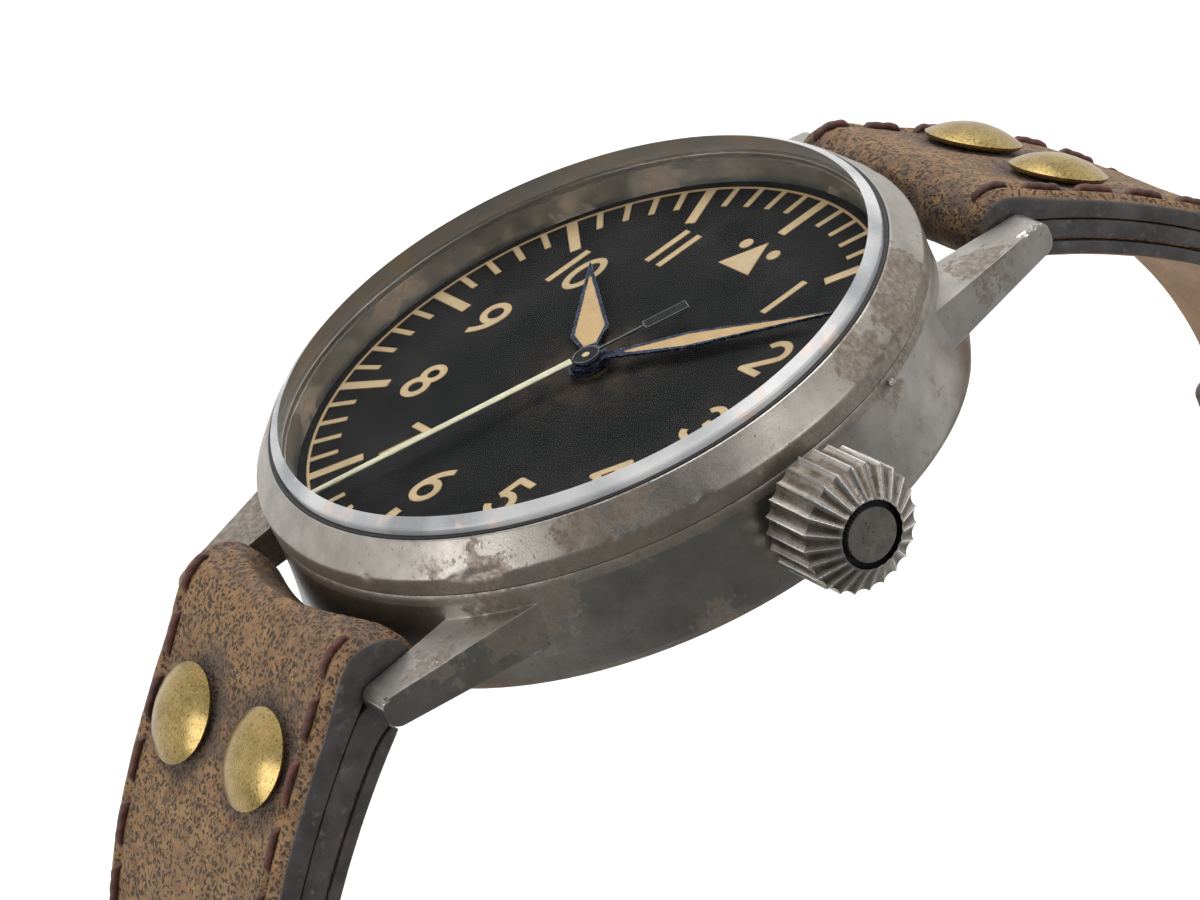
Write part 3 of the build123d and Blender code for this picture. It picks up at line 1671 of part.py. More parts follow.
# Keepers round the short half: the fixed one near the buckle and the one that slides
def keeper(s, gap, name):
    depth = strap_thickness(short_half, s)
    inner_w = 2 * (strap_half_w + keeper_side_gap)
    inner_h = depth + gap + keeper_room
    plane = strap_plane(short_half, s, depth / 2 + keeper_room - inner_h / 2)
    across = Plane(plane.origin, x_dir=plane.x_dir, z_dir=-plane.y_dir).offset(-keeper_w / 2)
    with BuildPart() as loop:
        with BuildSketch(across):
            RectangleRounded(inner_w + 2 * keeper_t, inner_h + 2 * keeper_t, keeper_t + keeper_round)
            RectangleRounded(inner_w, inner_h, keeper_round, mode=Mode.SUBTRACT)
        extrude(amount=keeper_w)
    save(loop.part, name)


bend_length, bend_turn = short_legs[-1]
inner_bend_r = bend_length / math.radians(bend_turn) - short_t_tip / 2
fixed_keeper_sag = inner_bend_r - math.sqrt(inner_bend_r**2 - (keeper_w / 2) ** 2)
keeper(strap_length(short_half) - fixed_keeper_back, fixed_keeper_sag + rivet_lift, "fixed_keeper")
keeper(free_keeper_s, free_keeper_gap, "sliding_keeper")

# Buckle: a frame with its bar, and a tongue that turns on the bar
buckle_plane = strap_plane(short_half, strap_length(short_half))

with BuildPart() as buckle_frame:
    with BuildSketch(buckle_plane.offset(-buckle_t / 2)):
        with BuildLine():
            Polyline(
                (buckle_outer_half, -buckle_rear_y),
                (buckle_outer_half, buckle_front_y + buckle_front_w),
                (-buckle_outer_half, buckle_front_y + buckle_front_w),
                (-buckle_outer_half, -buckle_rear_y),
                (-buckle_inner_half, -buckle_rear_y),
                (-buckle_inner_half, buckle_front_y),
                (buckle_inner_half, buckle_front_y),
                (buckle_inner_half, -buckle_rear_y),
                close=True,
            )
        make_face()
    extrude(amount=buckle_t)
    upright = buckle_frame.edges().filter_by(Axis(buckle_plane.origin, buckle_plane.z_dir))
    front = [
        edge
        for edge in upright
        if buckle_plane.to_local_coords(edge.center()).Y > buckle_front_y / 2
    ]
    outer_corners = [edge for edge in front if abs(edge.center().X) > buckle_inner_half + fit_gap]
    inner_corners = [edge for edge in front if edge not in outer_corners]
    fillet(outer_corners, radius=buckle_round)
    fillet(inner_corners, radius=buckle_inner_round)
    with BuildSketch(buckle_plane.offset(buckle_t / 2 - buckle_notch_depth)):
        with Locations((0, buckle_front_y + buckle_front_w / 2)):
            Rectangle(2 * buckle_notch_half, 2 * buckle_front_w)
    extrude(amount=buckle_notch_depth, mode=Mode.SUBTRACT)
    with BuildSketch(Plane.YZ.offset(-buckle_outer_half)):
        with Locations((buckle_plane.origin.Y, buckle_plane.origin.Z)):
            Circle(buckle_pin_r)
    extrude(amount=2 * buckle_outer_half, mode=Mode.SUBTRACT)
save(buckle_frame.part, "buckle_frame")

with BuildPart() as buckle_bar:
    with BuildSketch(Plane.YZ.offset(-buckle_outer_half)):
        with Locations((buckle_plane.origin.Y, buckle_plane.origin.Z)):
            Circle(buckle_pin_r)
    extrude(amount=2 * buckle_outer_half)
    with BuildSketch(Plane.YZ.offset(fit_gap - buckle_inner_half)):
        with Locations((buckle_plane.origin.Y, buckle_plane.origin.Z)):
            Circle(buckle_bar_r)
    extrude(amount=2 * (buckle_inner_half - fit_gap))
save(buckle_bar.part, "buckle_bar")

with BuildPart() as buckle_tongue:
    rest_h = buckle_t / 2 - buckle_notch_depth + rivet_lift
    side_plane = Plane(buckle_plane.origin, x_dir=buckle_plane.y_dir, z_dir=(1, 0, 0))
    tip_y = buckle_front_y + buckle_front_w + tongue_over
    with BuildSketch(side_plane):
        Circle(tongue_ring_r)
        with BuildLine():
            Polyline(
                (0, rest_h),
                (tip_y, rest_h),
                (tip_y, rest_h + tongue_t / 2),
                (tip_y - tongue_t / 2, rest_h + tongue_t),
                (0, tongue_ring_r),
                close=True,
            )
        make_face()
        Circle(buckle_bar_r + run_gap, mode=Mode.SUBTRACT)
    extrude(amount=tongue_half, both=True)
save(buckle_tongue.part, "buckle_tongue")
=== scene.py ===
import random
from math import ceil, copysign, cos, dist, exp, hypot, pi, radians, sin, sqrt, tau

import bmesh
import bpy
from mathutils import Matrix, Vector, noise


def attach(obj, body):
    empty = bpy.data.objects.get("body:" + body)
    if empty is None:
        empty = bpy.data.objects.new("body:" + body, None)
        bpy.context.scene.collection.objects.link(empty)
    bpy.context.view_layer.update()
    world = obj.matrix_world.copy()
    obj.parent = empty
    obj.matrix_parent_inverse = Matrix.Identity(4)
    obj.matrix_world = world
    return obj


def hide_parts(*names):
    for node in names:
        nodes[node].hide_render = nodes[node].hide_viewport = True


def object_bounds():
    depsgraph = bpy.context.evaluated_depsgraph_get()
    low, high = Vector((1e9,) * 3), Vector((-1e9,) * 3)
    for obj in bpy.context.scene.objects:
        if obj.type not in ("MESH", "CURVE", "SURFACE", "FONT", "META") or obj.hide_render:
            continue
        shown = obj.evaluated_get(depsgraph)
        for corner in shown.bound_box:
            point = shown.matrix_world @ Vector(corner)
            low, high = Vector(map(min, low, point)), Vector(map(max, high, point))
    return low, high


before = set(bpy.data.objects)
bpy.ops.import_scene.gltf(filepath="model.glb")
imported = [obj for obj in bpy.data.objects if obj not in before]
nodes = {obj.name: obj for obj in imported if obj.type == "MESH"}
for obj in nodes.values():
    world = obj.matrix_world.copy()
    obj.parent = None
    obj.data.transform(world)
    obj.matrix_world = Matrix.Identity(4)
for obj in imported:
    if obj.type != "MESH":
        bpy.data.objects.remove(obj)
cad_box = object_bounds()
MM = 0.001
NOISE_SPAN = (0.3, 0.7)
PATCH_SPAN = (0.35, 0.65)
random.seed(7)

scene = bpy.context.scene


def add_object(name, data):
    made = bpy.data.objects.new(name, data)
    scene.collection.objects.link(made)
    return made


# Camera at the photograph's viewing angle
camera_data = bpy.data.cameras.new("camera")
camera = add_object("camera", camera_data)
right = Vector((0.52431353, 0.76837892, -0.36700022))
up = Vector((-0.26189396, 0.55561238, 0.7891175))
back = Vector((0.81025112, -0.31762984, 0.49254889))
place = Matrix((right, up, back)).transposed().to_4x4()
place.translation = Vector((0.263975, -0.105201, 0.163617))
camera.matrix_world = place
camera_data.sensor_width = 36
camera_data.lens = 165.747
camera_data.clip_start = 0.01
camera_data.clip_end = 20
scene.camera = camera
scene.view_settings.view_transform = "Standard"


# Shader graphs. A graph works in millimetres of the row frame.
class Graph:
    def __init__(self, name, world=False):
        self.owner = (bpy.data.worlds if world else bpy.data.materials).new(name)
        self.owner.use_nodes = True
        self.tree = self.owner.node_tree
        self.tree.nodes.clear()
        self.output = self.node("OutputWorld" if world else "OutputMaterial")
        coord = self.node("TexCoord")
        self.way = coord.outputs["Generated"]
        self.mm = None if world else self.scaled(coord.outputs["Object"], 1 / MM)

    def node(self, kind, operation=None, inputs=None, **settings):
        made = self.tree.nodes.new("ShaderNode" + kind)
        if operation:
            made.operation = operation
        for key, value in settings.items():
            setattr(made, key, value)
        for key, value in (inputs or {}).items():
            self.put(made.inputs[key], value)
        return made

    def put(self, socket, value):
        if isinstance(value, bpy.types.NodeSocket):
            self.tree.links.new(value, socket)
        elif isinstance(value, (tuple, list)) and len(value) == 3 and socket.type == "RGBA":
            socket.default_value = (*value, 1)
        else:
            socket.default_value = value

    # A shader's output; in the names of its inputs, a low line stands for a space
    def shader(self, kind, **inputs):
        named = {key.replace("_", " "): value for key, value in inputs.items()}
        return self.node(kind, inputs=named).outputs[0]

    def either(self, share, a, b):
        return self.node("MixShader", inputs={0: share, 1: a, 2: b}).outputs[0]

    def shown(self, shader):
        self.put(self.output.inputs[0], shader)
        return self.owner

    def coat(self, colour, rough, normal, **inputs):
        return self.shader("BsdfPrincipled", Base_Color=colour, Roughness=rough, Normal=normal, **inputs)

    def surface(self, *coat, **inputs):
        return self.shown(self.coat(*coat, **inputs))

    def ray(self, kind):
        return self.node("LightPath").outputs[f"Is {kind} Ray"]

    def backfacing(self):
        return self.node("NewGeometry").outputs["Backfacing"]

    def math(self, operation, a, b=0):
        return self.node("Math", operation, {0: a, 1: b}).outputs[0]

    def times(self, a, b):
        return self.math("MULTIPLY", a, b)

    def plus(self, a, b):
        return self.math("ADD", a, b)

    def minus(self, a, b):
        return self.math("SUBTRACT", a, b)

    def most(self, a, b):
        return self.math("MAXIMUM", a, b)

    def length(self, a, b):
        return self.math("SQRT", self.plus(self.times(a, a), self.times(b, b)))

    def scaled(self, vector, scale):
        return self.node("VectorMath", "SCALE", {0: vector, "Scale": scale}).outputs[0]

    def stretch(self, scale, vector=None):
        return self.node("VectorMath", "MULTIPLY", {0: vector or self.mm, 1: scale}).outputs[0]

    def moved(self, step):
        return self.node("VectorMath", "ADD", {0: self.mm, 1: step}).outputs[0]

    def distance(self, place):
        return self.node("VectorMath", "DISTANCE", {0: self.mm, 1: place}).outputs["Value"]

    def noise_node(self, scale, detail, rough, vector):
        inputs = {"Vector": vector or self.mm, "Scale": scale, "Detail": detail, "Roughness": rough}
        return self.node("TexNoise", inputs=inputs)

    def noise(self, scale, detail=3, rough=0.5, vector=None):
        return self.noise_node(scale, detail, rough, vector).outputs["Fac"]

    def cells(self, scale, vector=None, randomness=1):
        inputs = {"Vector": vector or self.mm, "Scale": scale, "Randomness": randomness}
        return self.node("TexVoronoi", inputs=inputs).outputs["Distance"]

    def range(self, value, low, high, to_low=0, to_high=1, kind="LINEAR"):
        inputs = {0: value, 1: low, 2: high, 3: to_low, 4: to_high}
        return self.node("MapRange", inputs=inputs, interpolation_type=kind, clamp=True).outputs[0]

    def ease(self, value, low, high, to_low=0, to_high=1):
        return self.range(value, low, high, to_low, to_high, "SMOOTHSTEP")

    # A noise, which mostly lies in NOISE_SPAN, spread between two values
    def vary(self, noise, to_low, to_high):
        return self.range(noise, *NOISE_SPAN, to_low, to_high)

    # A noise turned into patches with soft borders
    def patches(self, noise):
        return self.range(noise, *PATCH_SPAN)

    def mix(self, share, a, b):
        return self.node("Mix", inputs={0: share, 6: a, 7: b}, data_type="RGBA").outputs[2]

    def split(self):
        return self.node("SeparateXYZ", inputs={0: self.mm}).outputs

    def bump(self, height, depth, strength):
        inputs = {"Height": height, "Strength": strength, "Distance": depth * MM}
        return self.node("Bump", inputs=inputs).outputs[0]

    # How much a sharp edge lies within a radius: 0 on open faces, near 1 on the edge
    def edges(self, radius, low=0.02, high=0.3):
        soft = self.node("Bevel", samples=6, inputs={"Radius": radius * MM}).outputs[0]
        true = self.node("NewGeometry").outputs["Normal"]
        same = self.node("VectorMath", "DOT_PRODUCT", {0: soft, 1: true}).outputs["Value"]
        return self.range(self.minus(1, same), low, high)


def shaded(colour, share):
    return tuple(share * c for c in colour)


# Steel with brown patina where a noise passes the patina's level, in stains and in bands, which on the
# case also paint shade under the bezel
def worn_steel(name, steel, seed, patina=0.64, brown=(0.085, 0.052, 0.024), stains=(), bands=()):
    g = Graph(name)
    at = g.moved((seed, seed * 0.7, seed * 1.3))
    clouds = g.noise(0.16, 5, 0.6, at)
    speck = g.noise(1.4, 4, 0.65, at)
    fine = g.noise(9, 3, 0.6, at)
    patch = g.plus(clouds, g.times(g.minus(speck, 0.5), 0.35))
    patch = g.ease(patch, patina - 0.02, patina + 0.07)
    crumb = g.vary(g.noise(0.9, 5, 0.7, at), -1.4, 1.4)
    for *place, radius in stains:
        near = g.ease(g.plus(g.distance(place), crumb), radius - 0.5, radius, 0.9, 0)
        patch = g.most(patch, near)
    height_mm = g.split()[2]
    # A band darkens the steel between two heights: patina, and on the case also painted shade under the
    # bezel.
    for low, high, share in bands:
        band = g.range(height_mm, low - 0.15, low, 0, share)
        band = g.times(band, g.range(height_mm, high, high + 0.15, 1, 0))
        patch = g.most(patch, g.times(band, g.range(clouds, 0.35, 0.6, 0.45, 1)))
    patch = g.times(patch, g.range(g.noise(2.6, 5, 0.75, at), 0.36, 0.6, 0.3, 1))
    colour = g.scaled(steel, g.vary(g.noise(0.5, 4, 0.6, at), 0.8, 1.15))
    rust_and_shade = g.mix(g.patches(speck), brown, shaded(brown, 1.7))
    colour = g.mix(g.times(patch, 0.85), colour, rust_and_shade)
    pits = g.range(g.noise(3.2, 2, 0.5, at), 0.66, 0.72)
    colour = g.mix(g.times(pits, 0.5), colour, shaded(steel, 0.4))
    # Pale edges: partly real rubbed wear, partly a painted highlight along the sharp edges.
    edge_wear_and_highlight = g.times(g.edges(0.18), g.range(g.noise(1.1, 3, 0.6, at), 0.35, 0.6, 0.25, 1))
    colour = g.mix(edge_wear_and_highlight, colour, (0.72, 0.71, 0.69))
    scratch = g.noise(1, 2, 0.5, g.stretch((0.25, 0.25, 9), at))
    rough = g.plus(g.vary(fine, 0.3, 0.46), g.times(patch, 0.14))
    rough = g.minus(rough, g.times(edge_wear_and_highlight, 0.16))
    height = g.plus(g.times(fine, 0.25), g.times(scratch, 0.12))
    height = g.minus(height, g.times(pits, 0.2))
    height = g.minus(height, g.times(patch, 0.25))
    return g.surface(colour, rough, g.bump(height, 0.03, 0.8), Metallic=g.range(patch, 0, 1, 1, 0.4))


CROWN_Z = 5.13
CROWN_FLUTES = 24
CROWN_RING = (1.6, 2)
CROWN_RING_FLOOR_X = 26.7
CROWN_BEVEL_R = 2.1


# The crown: brown in its flutes, bright on the ridges between them, black in the ring round its disc
def crown_steel():
    g = Graph("crown_steel")
    x, y, z = g.split()
    rise = g.minus(z, CROWN_Z)
    radius = g.length(y, rise)
    turn = g.times(g.math("ARCTAN2", rise, y), CROWN_FLUTES / tau)
    away = g.math("ABSOLUTE", g.minus(g.math("FRACT", g.plus(turn, CROWN_FLUTES)), 0.5))
    fluted = g.range(radius, CROWN_BEVEL_R - 0.05, CROWN_BEVEL_R + 0.1)
    clouds = g.noise(0.9, 4, 0.6)
    fine = g.noise(9, 3, 0.6)
    valley = g.times(g.ease(away, 0.12, 0.4, 1, 0), fluted)
    valley = g.times(valley, g.range(clouds, 0.3, 0.6, 0.45, 1))
    ridge = g.times(g.ease(away, 0.43, 0.48), fluted)
    ridge = g.times(ridge, g.range(g.noise(1.6), 0.3, 0.5, 0.5, 1))
    colour = g.scaled((0.4, 0.375, 0.34), g.vary(g.noise(1.4, 4, 0.6), 0.75, 1.2))
    colour = g.mix(g.times(valley, 0.85), colour, (0.085, 0.058, 0.034))
    colour = g.mix(g.range(g.noise(4), 0.62, 0.7, 0, 0.6), colour, (0.06, 0.04, 0.022))
    colour = g.mix(ridge, colour, (0.86, 0.85, 0.82))
    ring_in, ring_out = CROWN_RING
    ring = g.range(radius, ring_in - 0.015, ring_in)
    ring = g.times(ring, g.range(radius, ring_out, ring_out + 0.04, 1, 0))
    ring = g.times(ring, g.range(x, CROWN_RING_FLOOR_X, CROWN_RING_FLOOR_X + 0.1))
    colour = g.mix(ring, colour, (0.008, 0.008, 0.008))
    return g.surface(
        colour,
        g.minus(g.vary(fine, 0.26, 0.4), g.times(ridge, 0.1)),
        g.bump(g.plus(fine, clouds), 0.02, 0.6),
        Metallic=g.range(ring, 0, 1, 1, 0),
    )


def plain_metal(name, colour, rough=0.25, grain=6, depth=0.01):
    g = Graph(name)
    return g.surface(
        g.scaled(colour, g.vary(g.noise(grain), 0.88, 1.1)),
        g.vary(g.noise(grain * 2, 2), rough * 0.8, rough * 1.25),
        g.bump(g.noise(grain * 3, 2), depth, 0.6),
        Metallic=1,
    )


def aged_brass():
    g = Graph("aged_brass")
    clouds = g.noise(0.55, 4, 0.6)
    brushed = g.noise(5, 4, 0.75, g.stretch((3, 0.8, 0.8)))
    colour = g.mix(g.patches(clouds), (0.24, 0.165, 0.05), (0.42, 0.3, 0.11))
    colour = g.mix(g.range(brushed, 0.45, 0.8, 0, 0.7), colour, (0.74, 0.58, 0.31))
    colour = g.mix(g.range(g.noise(7), 0.58, 0.68, 0, 0.7), colour, (0.08, 0.045, 0.014))
    return g.surface(
        colour,
        g.vary(brushed, 0.22, 0.36),
        g.bump(g.plus(g.times(brushed, 0.4), g.noise(14, 2)), 0.006, 0.4),
        Metallic=1,
    )


# Shadow rays pass through, so that the dial below is lit
def crystal_glass():
    g = Graph("crystal_glass")
    refract = g.shader("BsdfRefraction", IOR=1.12, Roughness=0, Color=(0.98, 0.99, 0.99))
    gloss = g.shader("BsdfGlossy", Roughness=0.02, Color=(1, 1, 1))
    facing = g.node("Fresnel", inputs={"IOR": 1.1}).outputs[0]
    reflection_streaks = g.vary(g.noise(0.2, 4), 0.85, 1)
    share = g.times(g.times(facing, reflection_streaks), g.times(g.minus(1, g.backfacing()), 0.4))
    clear = g.shader("BsdfTransparent", Color=(0.97, 0.98, 0.98))
    return g.shown(g.either(g.ray("Shadow"), g.either(share, refract, gloss), clear))


# The height from which a look through the glass meets the ground bevel, not the metal wall
BEVEL_FOOT_Z = 11.13


# The crystal's ground rim from outside, its grey streaks and pinkish patches painted reflections; from
# inside it shows the metal wall that it stands against
def ground_glass():
    g = Graph("ground_glass")
    reflection_streaks = g.noise(0.18, 1.5, 0.5)
    # Dark-to-pale grey streaks and pinkish patches: painted reflections on the ground rim.
    tone = g.mix(g.range(reflection_streaks, 0.38, 0.62), (0.29, 0.3, 0.315), (0.66, 0.655, 0.65))
    tone = g.mix(g.range(g.noise(0.5), 0.6, 0.72), tone, (0.7, 0.55, 0.48))
    rough = g.vary(g.noise(6), 0.12, 0.3)
    rim = g.coat(tone, rough, g.bump(g.noise(9, 2), 0.01, 0.4), Specular_IOR_Level=0.7)
    clouds = g.noise(0.4, 4, 0.6)
    wall_tone = g.mix(g.range(clouds, 0.4, 0.65), (0.32, 0.3, 0.27), (0.43, 0.32, 0.22))
    wall_rough = g.vary(clouds, 0.4, 0.6)
    wall = g.shader("BsdfPrincipled", Base_Color=wall_tone, Metallic=0.5, Roughness=wall_rough)
    streaks = g.patches(g.noise(1.2, 4, 0.6))
    bevel = g.shader("BsdfTransparent", Color=g.mix(streaks, (0.25, 0.235, 0.22), (0.6, 0.59, 0.57)))
    high = g.range(g.split()[2], BEVEL_FOOT_Z, BEVEL_FOOT_Z + 0.02)
    return g.shown(g.either(g.backfacing(), rim, g.either(high, wall, bevel)))


def rubber(name, colour=(0.012, 0.012, 0.013)):
    g = Graph(name)
    return g.surface(
        g.mix(g.noise(2), colour, shaded(colour, 2)),
        g.vary(g.noise(6), 0.5, 0.75),
        g.bump(g.noise(14, 2), 0.01, 0.5),
    )


def dial_black():
    g = Graph("dial_black")
    radius = g.length(*g.split()[:2])
    grain = g.noise(11, 3, 0.6)
    clouds = g.noise(0.3, 5, 0.6)
    colour = g.mix(g.range(clouds, 0.35, 0.7), (0.004, 0.004, 0.0045), (0.009, 0.0085, 0.0085))
    centre = g.ease(radius, 2, 6.5, 1, 0)
    centre = g.times(centre, g.range(g.noise(0.5, 5, 0.65), 0.4, 0.62))
    colour = g.mix(g.times(centre, 0.4), colour, (0.07, 0.046, 0.028))
    haze = g.ease(radius, 8, 12)
    haze = g.times(haze, g.ease(radius, 14.5, 18.5, 1, 0.3))
    haze = g.times(haze, g.range(g.noise(0.35, 4, 0.55), 0.4, 0.7))
    colour = g.mix(g.times(haze, 0.3), colour, (0.03, 0.028, 0.026))
    colour = g.mix(g.range(g.noise(5, 2), 0.7, 0.74, 0, 0.3), colour, (0.1, 0.08, 0.06))
    return g.surface(
        colour,
        g.vary(grain, 0.6, 0.8),
        g.bump(grain, 0.004, 0.5),
        Specular_IOR_Level=0.06,
    )


def aged_paint(name, inner, outer, speck, rim=0.12):
    g = Graph(name)
    tone = g.mix(g.patches(g.noise(0.9, 4, 0.6)), inner, shaded(inner, 0.86))
    tone = g.mix(g.edges(rim, 0.005, 0.12), tone, outer)
    tone = g.mix(g.range(g.noise(6), 0.6, 0.7, 0, 0.6), tone, speck)
    return g.surface(tone, g.vary(g.noise(8, 2), 0.55, 0.8), g.bump(g.noise(10), 0.02, 0.7))


def blued_steel():
    g = Graph("blued_steel")
    # Pale blue-grey patches along the edges: painted highlights.
    edge_wear_and_highlight = g.times(g.edges(0.06), g.range(g.noise(2.4, 3, 0.7), 0.45, 0.6))
    colour = g.mix(g.patches(g.noise(1.2, 4)), (0.003, 0.006, 0.018), (0.008, 0.02, 0.065))
    colour = g.mix(edge_wear_and_highlight, colour, (0.55, 0.62, 0.7))
    return g.surface(
        colour,
        g.vary(g.noise(5), 0.18, 0.34),
        g.bump(g.noise(4), 0.015, 0.6),
        Metallic=0.85,
    )


def blackened_steel():
    g = Graph("blackened_steel")
    # Light grey outline along the edges: a painted highlight.
    edge_glint = g.edges(0.09, 0.02, 0.2)
    dull = g.noise(5)
    black = g.mix(dull, (0.002, 0.002, 0.0025), (0.006, 0.006, 0.0065))
    return g.surface(
        g.mix(edge_glint, black, (0.5, 0.5, 0.5)),
        g.vary(dull, 0.35, 0.5),
        g.bump(dull, 0.01, 0.5),
        Metallic=g.range(edge_glint, 0, 1, 0.2, 1),
        Specular_IOR_Level=0.08,
    )


# Leather with dark long pores, darker in places: round the rivets and towards the fold at the bar
def waxed_leather(name, rivets=(), fold_y=80):
    g = Graph(name)
    grain_at = g.moved(g.noise_node(1.3, 2, 0.5, None).outputs["Color"])
    pores = g.cells(3.2, g.stretch((1, 0.85, 0.85), grain_at), 0.75)
    specks = g.cells(5.4, grain_at)
    pore = g.ease(pores, 0.26, 0.5, 1, 0)
    pore = g.times(pore, g.range(g.noise(1.2), 0.3, 0.45, 0.75, 1))
    dots = g.ease(specks, 0.2, 0.42, 1, 0)
    dots = g.times(dots, g.range(g.noise(0.8), 0.36, 0.56, 0.15, 0.75))
    pore = g.most(pore, dots)
    fine = g.noise(7, 4, 0.65)
    clouds = g.noise(0.22, 4, 0.6)
    patch = g.noise(0.75, 3, 0.6)
    tan = g.mix(g.patches(patch), (0.29, 0.16, 0.068), (0.42, 0.25, 0.115))
    tan = g.mix(g.range(g.noise(1.9), 0.5, 0.7, 0, 0.5), tan, (0.4, 0.19, 0.075))
    tan = g.mix(g.range(fine, 0.35, 0.7), g.scaled(tan, 0.7), tan)
    dark = g.range(clouds, 0.52, 0.75, 0, 0.45)
    beside, along = (g.math("ABSOLUTE", way) for way in g.split()[:2])
    for place in rivets:
        away = g.plus(g.distance(place), g.vary(g.noise(0.6), -1.2, 1.2))
        dark = g.most(dark, g.ease(away, 2.6, 5.4, 0.85, 0))
    fold = g.ease(along, fold_y - 1.2, fold_y + 2.2, 0.8, 0)
    dark = g.most(dark, g.times(fold, g.range(g.noise(0.9, 4), 0.35, 0.6)))
    colour = g.mix(dark, tan, (0.095, 0.07, 0.062))
    colour = g.mix(g.ease(beside, 8.9, 9.7, 0, 0.45), colour, (0.11, 0.06, 0.035))
    colour = g.mix(g.times(pore, g.range(dark, 0, 1, 0.92, 0.6)), colour, (0.02, 0.013, 0.011))
    height = g.plus(g.times(pore, -0.8), g.times(fine, 0.5))
    return g.surface(
        colour,
        g.vary(fine, 0.5, 0.72),
        g.bump(height, 0.14, 0.85),
        Specular_IOR_Level=0.35,
        Sheen_Weight=0.04,
        Sheen_Roughness=0.5,
    )


def painted_edge():
    g = Graph("painted_edge")
    blotch = g.noise(0.5, 4, 0.6)
    scuff = g.noise(3, 4, 0.65, g.stretch((1, 0.5, 0.5)))
    colour = g.mix(g.patches(blotch), (0.042, 0.037, 0.036), (0.075, 0.067, 0.063))
    colour = g.mix(g.range(scuff, 0.58, 0.72, 0, 0.6), colour, (0.17, 0.15, 0.138))
    return g.surface(
        colour,
        g.vary(scuff, 0.32, 0.55),
        g.bump(g.plus(g.times(blotch, 0.8), g.times(scuff, 0.4)), 0.16, 0.7),
    )


def leather_core():
    g = Graph("leather_core")
    fibre = g.noise(5, 4, 0.65)
    return g.surface(
        g.mix(g.patches(fibre), (0.05, 0.035, 0.025), (0.085, 0.0595, 0.0425)),
        g.vary(fibre, 0.6, 0.85),
        g.bump(fibre, 0.06, 0.7),
    )


def tan_lining():
    g = Graph("tan_lining")
    fine = g.noise(6, 4, 0.6)
    stain = g.noise(0.25, 5, 0.6)
    colour = g.mix(g.patches(stain), (0.36, 0.225, 0.125), (0.47, 0.31, 0.185))
    colour = g.mix(g.range(fine, 0.4, 0.75, 0, 0.35), colour, (0.26, 0.15, 0.08))
    colour = g.mix(g.range(g.noise(0.9), 0.62, 0.72, 0, 0.35), colour, (0.22, 0.12, 0.07))
    return g.surface(
        colour,
        g.vary(fine, 0.6, 0.8),
        g.bump(g.plus(fine, g.cells(4)), 0.05, 0.5),
        Specular_IOR_Level=0.3,
    )


def waxed_thread():
    g = Graph("waxed_thread")
    fibre = g.noise(9, 3, 0.6)
    colour = g.mix(g.patches(g.noise(0.8)), (0.05, 0.016, 0.011), (0.115, 0.037, 0.024))
    # Lighter flecks along the fibres: painted highlights.
    colour = g.mix(g.range(fibre, 0.5, 0.75, 0, 0.6), colour, (0.25, 0.1, 0.07))
    return g.surface(colour, g.vary(fibre, 0.42, 0.65), g.bump(fibre, 0.05, 0.7), Sheen_Weight=0.04)


# Stains: place and radius. Bands of patina, on the case also painted shade under the bezel: from one
# height to another, and how full.
CASE_STAINS = (
    (14.2, -15.4, 6.9, 3.4), (12.5, -21, 6, 1.6), (13, 20, 6.3, 2.2),
    (19.5, 8.3, 7.2, 1.2), (19.9, -7, 1.5, 1.4), (-11.4, -18.4, 7, 4.4),
    (-12, -22.4, 5.9, 3.6),
)
# The case band from 7.2 to 7.9 mm lies under the bezel's overhang: brown patina and painted shade there.
CASE_PATINA_AND_SHADE_BANDS = ((7.2, 7.9, 1), (0.9, 1.5, 0.5))
BEZEL_BANDS = ((7.6, 8.9, 0.9),)
BEZEL_STAINS = (
    (15.5, 13.6, 9.8, 3), (16.9, 11.4, 9.7, 2.2), (18.6, 7.4, 9.7, 2),
    (16.4, -11, 9.5, 1.9), (17.8, -8.2, 9.9, 1.7), (13.2, -16.2, 9, 1.6),
    (-12, 15.5, 9.6, 1.8),
)
materials = {
    "case": worn_steel("case_steel", (0.385, 0.365, 0.335), 3, stains=CASE_STAINS, bands=CASE_PATINA_AND_SHADE_BANDS),
    "bezel": worn_steel("bezel_steel", (0.37, 0.34, 0.305), 11, stains=BEZEL_STAINS, bands=BEZEL_BANDS),
    "crown": crown_steel(),
    "rehaut": worn_steel("rehaut_steel", (0.52, 0.5, 0.47), 41, 0.55, (0.3, 0.19, 0.1)),
    "buckle": worn_steel("buckle_steel", (0.42, 0.41, 0.39), 31),
    "bright": plain_metal("bright_steel", (0.6, 0.6, 0.6), 0.2),
    "spring": plain_metal("spring_steel", (0.42, 0.43, 0.46), 0.3),
    "plate": plain_metal("nickel_plate", (0.6, 0.58, 0.54), 0.32, 3, 0.02),
    "gilt": plain_metal("gilt_brass", (0.68, 0.5, 0.24), 0.28),
    "glass": crystal_glass(),
    "ground": ground_glass(),
    "seal": rubber("seal_rubber"),
    "holder": rubber("holder_plastic", (0.05, 0.05, 0.05)),
    "dial": dial_black(),
    "print": aged_paint("dial_print", (0.37, 0.27, 0.145), (0.31, 0.16, 0.05), (0.24, 0.14, 0.06)),
    "lume": aged_paint("hand_lume", (0.37, 0.235, 0.1), (0.31, 0.175, 0.06), (0.22, 0.12, 0.04), 0.1),
    "cream": aged_paint("cream_paint", (0.47, 0.44, 0.31), (0.43, 0.38, 0.24), (0.36, 0.3, 0.18), 0.05),
    "blued": blued_steel(),
    "black_hand": blackened_steel(),
    "brass": aged_brass(),
    "leather_long": waxed_leather("leather_long", ((4.4, -30.2, 2.8), (-4.4, -30.2, 2.8)), 23.5),
    "leather_short": waxed_leather("leather_short", ((4.4, 30.8, 2.9), (-4.4, 30.8, 2.9)), 23.5),
    "leather_loop": waxed_leather("leather_loop"),
    "edge": painted_edge(),
    "core": leather_core(),
    "lining": tan_lining(),
    "thread": waxed_thread(),
}
